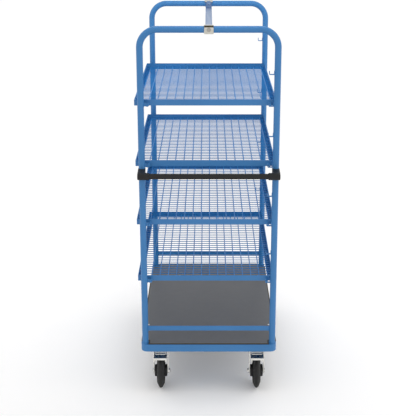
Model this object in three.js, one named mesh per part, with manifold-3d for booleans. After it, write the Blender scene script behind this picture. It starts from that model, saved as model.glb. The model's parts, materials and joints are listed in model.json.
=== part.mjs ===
// Shelf trolley: a platform truck with two bent tube end frames, four wire mesh shelves that tilt,
// a push handle, a tie strap across the top and four wheels, two of them on swivelling braked castors.
// Units are millimetres. X runs across the trolley, Y along it with the handle end at -Y, and Z is up.

import * as THREE from "three";
import { mergeVertices } from "three/addons/utils/BufferGeometryUtils.js";
import Module from "manifold-3d";

const wasm = await Module();
wasm.setup();

// Gaps and overruns that many pieces share
const fitGap = 0.3; // between two pieces that touch on the real trolley
const weldBite = 1.5; // how far a welded piece reaches into what carries it
const cutOverrun = 5; // how far a cutting shape runs past the face it cuts
const weldTolerance = 0.001; // corners closer than this are one corner

// Counts of flats on round shapes
const tubeSides = 16;
const boreSides = 8; // the unseen inside of a tube
const bendSteps = 6;
const pinSides = 12;
const wheelSides = 28;
const hubSides = 16;
const boltSides = 8;
const cornerSteps = 3;
const hexSides = 6;

// Deck: an angle steel frame with a board on top
const deckLength = 1010;
const deckWidth = 610;
const deckCornerRadius = 30;
const railHeight = 35;
const railFlange = 35;
const railWall = 3;
const boardThickness = 5;
const boardPostClearance = 1.5;

// Deck bolts, one at each quarter of the board
const deckBoltInset = 24; // from the long edge of the deck
const deckBoltSpread = 600; // along the deck
const deckBoltDiameter = 5;
const deckBoltHead = 10;
const deckBoltHeadHeight = 2.5;
const deckBoltTail = 4;

// End frames: bent tube, one at each end
const tubeDiameter = 28;
const tubeWall = 2;
const tubeTop = 1656; // height of the top of the bent tube
const bendRadius = 74; // on the middle line of the tube
const postSideInset = 5; // from the side of the deck to the side of the post
const postEndInset = 6; // from the end of the deck to the front of the post

// Cross bars low between the posts
const crossBarHeight = 22;
const crossBarThickness = 5;
const crossBarLift = 61; // above the deck frame

// Shelves
const shelfCount = 4;
const topShelfDrop = 311; // from the top of the end frames to the top shelf's rim
const shelfPitch = 264.3;
const shelfSideInset = 5; // from the side of the deck to the side of the shelf, before its shift
const shelfSideShift = 15; // the shelves sit this far to the left of the posts
const shelfEndClearance = 10; // from the post to the shelf
const rimHeight = 25;
const rimWall = 2.5;
const rimFlange = 20;

// Wire mesh, drawn coarser than the real one
const netBar = 4;
const netThickness = 4;
const netGapsAcross = 6;
const netGapsAlong = 8;

// Pins on the shelves, and the hooks and brackets on the posts that carry them
const pinDiameter = 8;
const pinHeight = 8; // middle of the pin above the bottom of the rim
const pinOverhang = 2; // past the outer side of the hook
const pinPlay = 1; // between the pin and the tip of the hook
const hookReach = 22;
const hookThickness = 3;
const hookRise = 16;
const hookDepth = 12;
const tiltRise = 134; // from the level hook to the tilted hook
const bracketReach = 27;
const bracketThickness = 4;

// Tie strap and its tube clamps at the top
const strapWidth = 30;
const strapThickness = 3;
const clampWidth = 39;
const clampWall = 3;
const clampDrop = 3.5; // below the tube
const strapBoltDiameter = 8;
const strapBoltHead = 13;
const strapBoltHeadHeight = 3.5;

// Push handle
const handleHeight = 1033;
const handleReach = 60; // in front of the posts
const handleDiameter = 24;
const handleWall = 2;
const collarWall = 2;
const collarBottom = 29; // below the middle of the handle
const collarTop = 17; // above the middle of the handle
const socketDiameter = 31;
const socketInnerReach = 20; // past the post, towards the middle
const socketDepth = 32; // how much of the bar each socket holds

// Castors
const castorHeight = 200; // from the floor to the deck frame
const castorSideInset = 86; // from the side of the deck to the middle of the castor plate
const castorEndInset = 105; // from the end of the deck to the middle of the castor plate
const castorTrail = 50; // from the swivel axis to the axle
const wheelRadius = 80;
const tyreWidth = 40;
const tyreDepth = 20;
const tyreShoulder = 10;
const rimDepth = 7;
const hubLength = 57;
const guardRadius = 28;
const webThickness = 10;
const axleDiameter = 12;
const axleHead = 19;
const axleHeadHeight = 7;
const forkWidth = 70;
const forkWall = 3;
const bossRadius = 14;
const plateWidth = 100;
const plateLength = 85;
const plateThickness = 3.5;
const plateCornerRadius = 8;
const cupDiameter = 62;
const cupHeight = 16;
const crownThickness = 4;
const crownRadius = 32;
const kingpinDiameter = 12;
const rivetDiameter = 20;
const rivetHeight = 5;
const plateBoltDiameter = 8;
const plateBoltHead = 13;
const plateBoltHeadHeight = 4;
const plateBoltTail = 5; // past the channel
const plateBoltInset = 10; // from the edge of the plate
const carrierWidth = 110; // the channel that the castor plates bolt to

// Brake pedal on each swivel castor
const pedalWidth = 58;
const pedalThickness = 3;
const pedalReach = 125; // from the swivel axis to the tip
const pedalStart = 62; // from the swivel axis to the foot of the plate
const pedalTopDrop = 10; // below the deck frame, at its foot
const pedalTipDrop = 30; // below the deck frame, at its tip
const pedalSteps = 4;
const pedalStepHeight = 2;
const pedalPinSetback = 38; // from the swivel axis
const pedalPinDrop = 22; // below the deck frame
const pedalPinDiameter = 6;
const pedalArmHeight = 10;
const pedalArmInset = 4;
const shoeGap = 5.5; // between the brake shoe and the tyre
const shoeThickness = 5;
const shoeSetback = 66;
const shoeWidth = 34;
const earRadius = 9;

// Places that follow from the sizes above
const postSpread = deckWidth - 2 * postSideInset - tubeDiameter;
const postSpan = deckLength - 2 * postEndInset - tubeDiameter;
const postInner = (postSpread - tubeDiameter) / 2;
const frameTop = castorHeight + railHeight;
const boardTop = frameTop + fitGap + boardThickness;
const topShelfHeight = tubeTop - topShelfDrop;
const shelfWidth = deckWidth - 2 * shelfSideInset;
const shelfLength = postSpan - tubeDiameter - 2 * shelfEndClearance;
const pinLength = shelfEndClearance + (tubeDiameter + hookDepth) / 2 + pinOverhang;
const pinPlace = postInner - hookReach + hookThickness + pinPlay + pinDiameter / 2;
const castorSpread = deckWidth - 2 * castorSideInset;
const axleHeight = wheelRadius;
const plateTop = castorHeight - fitGap;
const plateBottom = plateTop - plateThickness;
const crownTop = plateBottom - cupHeight - fitGap;
const crownBottom = crownTop - crownThickness;
const legInner = forkWidth / 2 - forkWall;

const quarterTurn = Math.PI / 2;

// Turns a closed three.js geometry into a solid that can be joined or cut.
function solidOf(geometry) {
  const bare = geometry.clone();
  bare.deleteAttribute("normal");
  bare.deleteAttribute("uv");
  const merged = mergeVertices(bare, weldTolerance);
  const vertProperties = new Float32Array(merged.getAttribute("position").array);
  const triVerts = new Uint32Array(merged.index.array);
  return new wasm.Manifold(new wasm.Mesh({ numProp: 3, vertProperties, triVerts }));
}

// Turns a solid back into a three.js geometry.
function geometryOf(solid) {
  const made = solid.getMesh();
  const geometry = new THREE.BufferGeometry();
  geometry.setAttribute("position", new THREE.BufferAttribute(made.vertProperties, made.numProp));
  geometry.setIndex(new THREE.BufferAttribute(made.triVerts, 1));
  geometry.computeVertexNormals();
  return geometry;
}

function join(...geometries) {
  return geometryOf(geometries.map(solidOf).reduce((whole, piece) => whole.add(piece)));
}

function cut(geometry, ...tools) {
  return geometryOf(tools.map(solidOf).reduce((whole, tool) => whole.subtract(tool), solidOf(geometry)));
}

// A box given by its lowest and highest corner.
function block(low, high) {
  const size = high.map((value, axis) => value - low[axis]);
  const middle = high.map((value, axis) => (value + low[axis]) / 2);
  return new THREE.BoxGeometry(...size).translate(...middle);
}

// A round bar along one axis, from one place on that axis to another.
function rod(axis, diameter, from, to, middle, sides) {
  const geometry = new THREE.CylinderGeometry(diameter / 2, diameter / 2, to - from, sides);
  const along = (from + to) / 2;
  if (axis === "x") {
    return geometry.rotateZ(-quarterTurn).translate(along, middle[0], middle[1]);
  }
  if (axis === "y") {
    return geometry.translate(middle[0], along, middle[1]);
  }
  return geometry.rotateX(quarterTurn).translate(middle[0], middle[1], along);
}

// The diameter of a hole with flat sides that clears a round pin all the way round.
function holeFor(diameter, sides) {
  return (diameter + 2 * fitGap) / Math.cos(Math.PI / sides);
}

// A flat outline pushed up from one height to another.
function slab(shape, bottom, top) {
  const settings = { depth: top - bottom, bevelEnabled: false, curveSegments: cornerSteps };
  return new THREE.ExtrudeGeometry(shape, settings).translate(0, 0, bottom);
}

// A flat outline in Y and Z, pushed across from one X to another.
function crosswise(points, from, to) {
  const shape = new THREE.Shape(points.map(([y, z]) => new THREE.Vector2(y, z)));
  const settings = { depth: to - from, bevelEnabled: false };
  const turned = new THREE.ExtrudeGeometry(shape, settings).rotateX(quarterTurn).rotateZ(quarterTurn);
  return turned.translate(from, 0, 0);
}

// A flat outline in X and Z, pushed along from one Y to another.
function lengthwise(points, from, to) {
  const shape = new THREE.Shape(points.map(([x, z]) => new THREE.Vector2(x, z)));
  const settings = { depth: to - from, bevelEnabled: false };
  return new THREE.ExtrudeGeometry(shape, settings).rotateX(quarterTurn).translate(0, to, 0);
}

function rectangle(width, length, radius) {
  const x = width / 2;
  const y = length / 2;
  const shape = new THREE.Shape();
  shape.moveTo(radius - x, -y);
  shape.lineTo(x - radius, -y);
  shape.absarc(x - radius, radius - y, radius, -quarterTurn, 0);
  shape.lineTo(x, y - radius);
  shape.absarc(x - radius, y - radius, radius, 0, quarterTurn);
  shape.lineTo(radius - x, y);
  shape.absarc(radius - x, y - radius, radius, quarterTurn, 2 * quarterTurn);
  shape.lineTo(-x, radius - y);
  shape.absarc(radius - x, radius - y, radius, 2 * quarterTurn, 3 * quarterTurn);
  return shape;
}

function box2d(low, high) {
  const corners = [low, [high[0], low[1]], high, [low[0], high[1]]];
  return new THREE.Path(corners.map(([x, y]) => new THREE.Vector2(x, y)));
}

function framedRectangle(width, length, band) {
  const x = width / 2;
  const y = length / 2;
  const shape = new THREE.Shape(box2d([-x, -y], [x, y]).getPoints());
  shape.holes.push(box2d([band - x, band - y], [x - band, y - band]));
  return shape;
}

function circle(radius, sides) {
  const points = [];
  for (let side = 0; side < sides; side += 1) {
    const angle = (side / sides) * 4 * quarterTurn;
    points.push(new THREE.Vector2(radius * Math.cos(angle), radius * Math.sin(angle)));
  }
  return points;
}

// A route whose steps lie only where it bends, so that its straight runs are one long face each.
class BendRoute extends THREE.Curve {
  constructor(stations) {
    super();
    this.stations = stations;
  }

  station(share) {
    return this.stations[Math.round(share * (this.stations.length - 1))];
  }

  getPointAt(share, target = new THREE.Vector3()) {
    return target.copy(this.station(share).point);
  }

  getTangentAt(share, target = new THREE.Vector3()) {
    return target.copy(this.station(share).tangent);
  }
}

function tubeAlong(outer, inner, stations) {
  const shape = new THREE.Shape(circle(outer, tubeSides));
  shape.holes.push(new THREE.Path(circle(inner, boreSides)));
  const settings = {
    steps: stations.length - 1,
    extrudePath: new BendRoute(stations),
    bevelEnabled: false,
  };
  return new THREE.ExtrudeGeometry(shape, settings);
}

// Stations round a bend in X and Z, turning clockwise from one angle to another.
function bend(centreX, centreZ, fromAngle, toAngle) {
  const stations = [];
  for (let step = 0; step <= bendSteps; step += 1) {
    const angle = fromAngle + ((toAngle - fromAngle) * step) / bendSteps;
    const point = new THREE.Vector3(
      centreX + bendRadius * Math.cos(angle),
      0,
      centreZ + bendRadius * Math.sin(angle),
    );
    stations.push({ point, tangent: new THREE.Vector3(Math.sin(angle), 0, -Math.cos(angle)) });
  }
  return stations;
}

// Finishes of the real pieces
const finishes = {
  blue: { color: 0x3f7ab8, roughness: 0.45, metalness: 0.1 },
  board: { color: 0x5e5f61, roughness: 0.8, metalness: 0 },
  zinc: { color: 0xb9bcc0, roughness: 0.35, metalness: 0.9 },
  plastic: { color: 0x222325, roughness: 0.5, metalness: 0 },
  rubber: { color: 0x1c1c1d, roughness: 0.75, metalness: 0 },
};

function piece(name, finish, geometry) {
  const mesh = new THREE.Mesh(geometry, new THREE.MeshStandardMaterial(finishes[finish]));
  mesh.name = name;
  return mesh;
}

const ends = [
  { name: "near", side: -1 },
  { name: "far", side: 1 },
];
const sides = [
  { name: "left", side: -1 },
  { name: "right", side: 1 },
];
const trolley = new THREE.Group();

// Deck frame: angle steel bent round the corners, with a channel at each end for the castors
function deckBoltPlaces() {
  const x = deckWidth / 2 - deckBoltInset;
  return ends.flatMap((end) => sides.map((side) => [side.side * x, (end.side * deckBoltSpread) / 2]));
}

function plateBoltPlaces() {
  const x = plateWidth / 2 - plateBoltInset;
  const y = plateLength / 2 - plateBoltInset;
  return ends.flatMap((end) => sides.map((side) => [side.side * x, end.side * y]));
}

function castorPlace(end, side) {
  return [(side.side * castorSpread) / 2, end.side * (deckLength / 2 - castorEndInset)];
}

function deckFrame() {
  const band = (inset, bottom, top) => {
    const outer = rectangle(deckWidth, deckLength, deckCornerRadius);
    const innerRadius = Math.max(deckCornerRadius - inset, fitGap);
    const inner = rectangle(deckWidth - 2 * inset, deckLength - 2 * inset, innerRadius);
    outer.holes.push(new THREE.Path(inner.getPoints(cornerSteps)));
    return slab(outer, bottom, top);
  };
  const leg = band(railWall, castorHeight, frameTop);
  const flange = band(railFlange, frameTop - railWall, frameTop);
  const reach = deckWidth / 2 - railWall + weldBite;
  const channels = ends.map((end) => {
    const middle = castorPlace(end, sides[0])[1];
    const low = middle - carrierWidth / 2;
    const high = middle + carrierWidth / 2;
    const top = frameTop - railWall + weldBite;
    const whole = block([-reach, low, castorHeight], [reach, high, top]);
    const hollow = block(
      [-reach - cutOverrun, low + railWall, castorHeight + railWall],
      [reach + cutOverrun, high - railWall, top + cutOverrun],
    );
    return cut(whole, hollow);
  });
  const holes = deckBoltPlaces().map((place) =>
    rod("z", holeFor(deckBoltDiameter, boltSides), castorHeight, frameTop + cutOverrun, place, boltSides),
  );
  const castorHoles = ends.flatMap((end) =>
    sides.flatMap((side) => {
      const [x, y] = castorPlace(end, side);
      return plateBoltPlaces().map(([dx, dy]) => {
        const through = castorHeight + railWall + cutOverrun;
        const from = castorHeight - cutOverrun;
        return rod("z", holeFor(plateBoltDiameter, boltSides), from, through, [x + dx, y + dy], boltSides);
      });
    }),
  );
  return cut(join(leg, flange, ...channels), ...holes, ...castorHoles);
}

trolley.add(piece("deck_frame", "blue", deckFrame()));

// Deck board: one sheet over the frame, notched at its corners for the posts
function deckBoard() {
  const x = deckWidth / 2;
  const y = deckLength / 2;
  const notchX = postInner - boardPostClearance;
  const notchY = (postSpan - tubeDiameter) / 2 - boardPostClearance;
  const corners = [
    [notchX, -y],
    [notchX, -notchY],
    [x, -notchY],
    [x, notchY],
    [notchX, notchY],
    [notchX, y],
    [-notchX, y],
    [-notchX, notchY],
    [-x, notchY],
    [-x, -notchY],
    [-notchX, -notchY],
    [-notchX, -y],
  ];
  const shape = new THREE.Shape(corners.map((corner) => new THREE.Vector2(...corner)));
  const board = slab(shape, frameTop + fitGap, boardTop);
  const hole = holeFor(deckBoltDiameter, boltSides);
  const through = boardTop + cutOverrun;
  const holes = deckBoltPlaces().map((place) =>
    rod("z", hole, frameTop - cutOverrun, through, place, boltSides),
  );
  return cut(board, ...holes);
}

trolley.add(piece("deck_board", "board", deckBoard()));

// Deck bolts: a domed head on the board and a shank down through the frame
function deckBolt() {
  const headBottom = boardTop + fitGap;
  const tail = frameTop - railWall - deckBoltTail;
  return join(
    rod("z", deckBoltHead, headBottom, headBottom + deckBoltHeadHeight, [0, 0], pinSides),
    rod("z", deckBoltDiameter, tail, headBottom + weldBite, [0, 0], boltSides),
  );
}

deckBoltPlaces().forEach(([x, y], index) => {
  const bolt = piece("deck_bolt_" + (index + 1), "zinc", deckBolt());
  bolt.position.set(x, y, 0);
  trolley.add(bolt);
});

// Heights of the shelves, from the top one down
const shelfBottoms = [];
for (let shelf = 0; shelf < shelfCount; shelf += 1) {
  shelfBottoms.push(topShelfHeight - rimHeight - shelf * shelfPitch);
}

// End frame: one bent tube, with hooks welded to its right post and pivot brackets to its left post
function hook(floor) {
  const inner = postInner - hookReach;
  const bottom = floor - hookThickness;
  const outline = [
    [inner, bottom],
    [postInner + weldBite, bottom],
    [postInner + weldBite, bottom + hookRise],
    [postInner - hookThickness + weldBite, bottom + hookRise],
    [postInner - hookThickness + weldBite, floor],
    [inner + hookThickness, floor],
    [inner + hookThickness, bottom + hookRise],
    [inner, bottom + hookRise],
  ];
  return lengthwise(outline, -hookDepth / 2, hookDepth / 2);
}

function pivotBracket(bottom) {
  const plate = block(
    [-postInner - weldBite, -bracketThickness / 2, bottom],
    [bracketReach - postInner, bracketThickness / 2, bottom + rimHeight],
  );
  const place = [-pinPlace, bottom + pinHeight];
  const half = bracketThickness / 2 + cutOverrun;
  return cut(plate, rod("y", holeFor(pinDiameter, pinSides), -half, half, place, pinSides));
}

function endFrame() {
  const foot = frameTop + fitGap;
  const bendHeight = tubeTop - tubeDiameter / 2 - bendRadius;
  const postX = postSpread / 2;
  const up = new THREE.Vector3(0, 0, 1);
  const stations = [
    { point: new THREE.Vector3(-postX, 0, foot), tangent: up },
    ...bend(bendRadius - postX, bendHeight, 2 * quarterTurn, quarterTurn),
    ...bend(postX - bendRadius, bendHeight, quarterTurn, 0),
    { point: new THREE.Vector3(postX, 0, foot), tangent: up.clone().negate() },
  ];
  const outer = tubeDiameter / 2;
  const tube = tubeAlong(outer, outer - tubeWall, stations);
  const floorDrop = pinHeight - pinDiameter / 2 - fitGap;
  const hooks = shelfBottoms.flatMap((bottom) => [
    hook(bottom + floorDrop),
    hook(bottom + floorDrop + tiltRise),
  ]);
  const brackets = shelfBottoms.map(pivotBracket);
  const boltPlace = [0, tubeTop - outer];
  const half = outer + cutOverrun;
  const boltHole = rod("y", holeFor(strapBoltDiameter, pinSides), -half, half, boltPlace, pinSides);
  return cut(join(tube, ...hooks, ...brackets), boltHole);
}

ends.forEach((end) => {
  const frame = piece(end.name + "_end_frame", "blue", endFrame());
  frame.position.y = (end.side * postSpan) / 2;
  trolley.add(frame);
});

// Cross bars: flat bars low between the two posts of each end
ends.forEach((end) => {
  const reach = postInner - fitGap;
  const bottom = frameTop + crossBarLift;
  const bar = block(
    [-reach, -crossBarThickness / 2, bottom],
    [reach, crossBarThickness / 2, bottom + crossBarHeight],
  );
  const mesh = piece(end.name + "_cross_bar", "blue", bar);
  mesh.position.y = (end.side * postSpan) / 2;
  trolley.add(mesh);
});

// Shelves: a rim of angle steel with a pin at each corner, and a mesh panel lying on its flange
function shelfFrame() {
  const leg = slab(framedRectangle(shelfWidth, shelfLength, rimWall), 0, rimHeight);
  const flange = slab(framedRectangle(shelfWidth, shelfLength, rimFlange), 0, rimWall);
  const inside = shelfLength / 2 - weldBite;
  const tip = shelfLength / 2 + pinLength;
  const pins = sides.flatMap((side) => {
    const place = [side.side * pinPlace + shelfSideShift, pinHeight];
    return [
      rod("y", pinDiameter, -tip, -inside, place, pinSides),
      rod("y", pinDiameter, inside, tip, place, pinSides),
    ];
  });
  return join(leg, flange, ...pins);
}

function shelfNet() {
  const x = shelfWidth / 2 - rimWall - fitGap;
  const y = shelfLength / 2 - rimWall - fitGap;
  const bottom = rimWall + fitGap;
  const top = bottom + netThickness;
  const stepAcross = (2 * x - netBar) / netGapsAcross;
  const stepAlong = (2 * y - netBar) / netGapsAlong;
  const gaps = [];
  for (let across = 0; across < netGapsAcross; across += 1) {
    for (let along = 0; along < netGapsAlong; along += 1) {
      const left = across * stepAcross + netBar - x;
      const near = along * stepAlong + netBar - y;
      const low = [left, near, bottom - cutOverrun];
      gaps.push(block(low, [left + stepAcross - netBar, near + stepAlong - netBar, top + cutOverrun]));
    }
  }
  return cut(block([-x, -y, bottom], [x, y, top]), ...gaps);
}

shelfBottoms.forEach((bottom, index) => {
  const shelf = new THREE.Group();
  shelf.position.set(-shelfSideShift, 0, bottom);
  shelf.add(piece("shelf_frame_" + (index + 1), "blue", shelfFrame()));
  shelf.add(piece("shelf_mesh_" + (index + 1), "blue", shelfNet()));
  trolley.add(shelf);
});

// Tie strap: a flat bar between the tops of the end frames, with its ends bent up
const strapBoltHeight = tubeTop - tubeDiameter / 2;
const strapBottom = tubeTop - tubeDiameter - clampDrop;
const clampInner = tubeDiameter / 2 + fitGap;
const strapEnd = postSpan / 2 - clampInner - clampWall - fitGap;

function strapTab() {
  const half = strapWidth / 2;
  const shape = new THREE.Shape();
  shape.moveTo(-half, 0);
  shape.lineTo(half, 0);
  shape.lineTo(half, strapBoltHeight - strapBottom);
  shape.absarc(0, strapBoltHeight - strapBottom, half, 0, 2 * quarterTurn);
  const settings = { depth: strapThickness, bevelEnabled: false, curveSegments: 2 * cornerSteps };
  const tab = new THREE.ExtrudeGeometry(shape, settings).rotateX(quarterTurn);
  return tab.translate(0, 0, strapBottom);
}

function topStrap() {
  const run = block(
    [-strapWidth / 2, -strapEnd, strapBottom],
    [strapWidth / 2, strapEnd, strapBottom + strapThickness],
  );
  const tabs = [
    strapTab().translate(0, strapThickness - strapEnd, 0),
    strapTab().translate(0, strapEnd, 0),
  ];
  const place = [0, strapBoltHeight];
  const reach = strapEnd + cutOverrun;
  const hole = rod("y", holeFor(strapBoltDiameter, pinSides), -reach, reach, place, pinSides);
  return cut(join(run, ...tabs), hole);
}

function strapClamp() {
  const outer = clampInner + clampWall;
  const top = tubeTop + fitGap + clampWall;
  const whole = block([-clampWidth / 2, -outer, strapBottom], [clampWidth / 2, outer, top]);
  const hollow = block(
    [-clampWidth / 2 - cutOverrun, -clampInner, strapBottom - cutOverrun],
    [clampWidth / 2 + cutOverrun, clampInner, top - clampWall],
  );
  const reach = outer + cutOverrun;
  const place = [0, strapBoltHeight];
  return cut(
    whole,
    hollow,
    rod("y", holeFor(strapBoltDiameter, pinSides), -reach, reach, place, pinSides),
  );
}

function strapBolt() {
  const place = [0, strapBoltHeight];
  const outer = clampInner + clampWall + fitGap;
  const inner = outer + strapThickness + fitGap;
  return join(
    rod("y", strapBoltDiameter, -outer - weldBite, inner + weldBite, place, pinSides),
    rod("y", strapBoltHead, -outer - strapBoltHeadHeight, -outer, place, hexSides),
    rod("y", strapBoltHead, inner, inner + strapBoltHeadHeight, place, pinSides),
  );
}

trolley.add(piece("top_strap", "zinc", topStrap()));
ends.forEach((end) => {
  const clamp = piece(end.name + "_strap_clamp", "zinc", strapClamp());
  const bolt = piece(end.name + "_strap_bolt", "zinc", strapBolt());
  [clamp, bolt].forEach((mesh) => {
    mesh.position.y = (end.side * postSpan) / 2;
    mesh.rotation.z = end.side > 0 ? 2 * quarterTurn : 0;
    trolley.add(mesh);
  });
});

// Push handle: a tube held in front of the near posts by two moulded brackets
const socketHalf = socketDiameter / 2;
const handleEnd = postInner - socketInnerReach + socketDepth;

function handleBracket() {
  const collarOuter = tubeDiameter / 2 + fitGap + collarWall;
  const postX = postSpread / 2;
  const low = handleHeight - collarBottom;
  const high = handleHeight + collarTop;
  const collar = rod("z", 2 * collarOuter, low, high, [postX, 0], tubeSides);
  const nose = [];
  for (let step = 0; step <= 2 * cornerSteps; step += 1) {
    const angle = quarterTurn + (step / cornerSteps) * quarterTurn;
    nose.push([
      socketHalf * Math.cos(angle) - handleReach,
      socketHalf * Math.sin(angle) + handleHeight,
    ]);
  }
  const side = [[0, high], [-collarOuter, high], ...nose, [-collarOuter, low], [0, low]];
  const arm = crosswise(side, postX - collarOuter, postX + collarOuter);
  const inner = postInner - socketInnerReach;
  const outer = postX + collarOuter;
  const middle = [-handleReach, handleHeight];
  const socket = rod("x", socketDiameter, inner, outer - weldBite, middle, tubeSides);
  const postHole = rod(
    "z",
    holeFor(tubeDiameter, tubeSides),
    low - cutOverrun,
    high + cutOverrun,
    [postX, 0],
    tubeSides,
  );
  const barHole = rod(
    "x",
    holeFor(handleDiameter, tubeSides),
    inner - cutOverrun,
    handleEnd + fitGap,
    middle,
    tubeSides,
  );
  return cut(join(collar, arm, socket), postHole, barHole);
}

function handleBar() {
  const ring = new THREE.Shape(circle(handleDiameter / 2, tubeSides));
  ring.holes.push(new THREE.Path(circle(handleDiameter / 2 - handleWall, boreSides)));
  const settings = { depth: 2 * handleEnd, bevelEnabled: false };
  const bar = new THREE.ExtrudeGeometry(ring, settings).translate(0, 0, -handleEnd);
  return bar.rotateY(quarterTurn).translate(0, -handleReach, handleHeight);
}

function mirrored(geometry) {
  return geometryOf(solidOf(geometry).mirror([1, 0, 0]));
}

const handle = new THREE.Group();
handle.position.y = -postSpan / 2;
handle.add(piece("handle_bar", "plastic", handleBar()));
handle.add(piece("left_handle_bracket", "plastic", mirrored(handleBracket())));
handle.add(piece("right_handle_bracket", "plastic", handleBracket()));
trolley.add(handle);

// Wheels: a rubber tyre on a moulded hub with a thread guard at each side, on a bolt for an axle
function turned(profile, count) {
  const points = profile.map(([radius, along]) => new THREE.Vector2(radius, along));
  const lathe = new THREE.LatheGeometry([...points, points[0].clone()], count);
  return lathe.rotateZ(-quarterTurn);
}

function tyre() {
  const half = tyreWidth / 2;
  const inner = wheelRadius - tyreDepth;
  const shoulder = wheelRadius - tyreShoulder;
  return turned(
    [
      [inner, -half],
      [shoulder, -half],
      [wheelRadius - tyreShoulder / 3, -half / 2],
      [wheelRadius, -half / 4],
      [wheelRadius, half / 4],
      [wheelRadius - tyreShoulder / 3, half / 2],
      [shoulder, half],
      [inner, half],
    ],
    wheelSides,
  );
}

function hub() {
  const bore = holeFor(axleDiameter, pinSides) / 2;
  const seat = (wheelRadius - tyreDepth - fitGap) * Math.cos(Math.PI / wheelSides);
  const face = hubLength / 2;
  const half = tyreWidth / 2;
  const web = webThickness / 2;
  const rightHalf = [
    [seat, half],
    [seat - rimDepth, half],
    [seat - rimDepth, web],
    [guardRadius, web],
    [guardRadius, face],
    [bore, face],
  ];
  const leftHalf = rightHalf.map(([radius, along]) => [radius, -along]).reverse();
  return turned([...leftHalf, ...rightHalf], hubSides);
}

function axle() {
  const head = forkWidth / 2 + fitGap;
  const end = head + axleHeadHeight;
  return join(
    rod("x", axleDiameter, -end, end, [0, 0], pinSides),
    rod("x", axleHead, head, end, [0, 0], hexSides),
    rod("x", axleHead, -end, -head, [0, 0], hexSides),
  );
}

function wheelPieces(name) {
  const wheel = new THREE.Group();
  wheel.position.z = axleHeight;
  wheel.add(piece(name + "_tyre", "rubber", tyre()));
  wheel.add(piece(name + "_hub", "plastic", hub()));
  wheel.add(piece(name + "_axle", "zinc", axle()));
  return wheel;
}

// Castor plate: screwed under the deck frame, with the screws drawn as one piece with it
function boltedPlate() {
  const plate = slab(rectangle(plateWidth, plateLength, plateCornerRadius), plateBottom, plateTop);
  const tip = castorHeight + railWall + plateBoltTail;
  const head = plateBottom - plateBoltHeadHeight;
  const screws = plateBoltPlaces().flatMap((place) => [
    rod("z", plateBoltDiameter, plateBottom, tip, place, boltSides),
    rod("z", plateBoltHead, head, plateBottom + weldBite, place, hexSides),
  ]);
  return join(plate, ...screws);
}

function swivelPlate() {
  const pinBottom = crownBottom - fitGap - rivetHeight;
  return join(
    boltedPlate(),
    rod("z", cupDiameter, plateBottom - cupHeight, plateBottom + weldBite, [0, 0], hubSides),
    rod("z", kingpinDiameter, pinBottom, plateBottom, [0, 0], pinSides),
    rod("z", rivetDiameter, pinBottom, pinBottom + rivetHeight, [0, 0], pinSides),
  );
}

// One leg of a fork: an outline in Y and Z that ends round the axle
function legOutline(topFront, topBack, top, axleY) {
  const outline = [
    [topBack, top],
    [topFront, top],
  ];
  for (let step = 0; step <= 2 * cornerSteps; step += 1) {
    const angle = 2 * quarterTurn + (step / cornerSteps) * quarterTurn;
    outline.push([
      axleY + bossRadius * Math.cos(angle),
      axleHeight + bossRadius * Math.sin(angle),
    ]);
  }
  return outline;
}

function bothLegs(outline, holes) {
  const legs = sides.map((side) => {
    const near = Math.min(side.side * legInner, (side.side * forkWidth) / 2);
    return crosswise(outline, near, near + forkWall);
  });
  const reach = forkWidth / 2 + cutOverrun;
  const drills = holes.map(([diameter, place]) =>
    rod("x", holeFor(diameter, pinSides), -reach, reach, place, pinSides),
  );
  return legs.map((leg) => cut(leg, ...drills));
}

function swivelFork() {
  const front = -pedalPinSetback - earRadius;
  const pinHeightHere = castorHeight - pedalPinDrop;
  const outline = [
    [crownRadius, crownTop],
    [front + earRadius, pinHeightHere + earRadius],
    [front, pinHeightHere + earRadius],
    ...legOutline(front, crownRadius, pinHeightHere - earRadius, -castorTrail).slice(1),
    [crownRadius, crownBottom - bossRadius],
  ];
  const legs = bothLegs(outline, [
    [axleDiameter, [-castorTrail, axleHeight]],
    [pedalPinDiameter, [-pedalPinSetback, pinHeightHere]],
  ]);
  const crown = block(
    [-legInner - weldBite, -crownRadius, crownBottom],
    [legInner + weldBite, crownRadius, crownTop],
  );
  const pinHole = rod(
    "z",
    holeFor(kingpinDiameter, pinSides),
    crownBottom - cutOverrun,
    crownTop + cutOverrun,
    [0, 0],
    pinSides,
  );
  return cut(join(crown, ...legs), pinHole);
}

function fixedFork() {
  const outline = [...legOutline(-crownRadius, crownRadius, plateBottom + weldBite, 0)];
  const legs = bothLegs(outline, [[axleDiameter, [0, axleHeight]]]);
  return join(boltedPlate(), ...legs);
}

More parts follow.
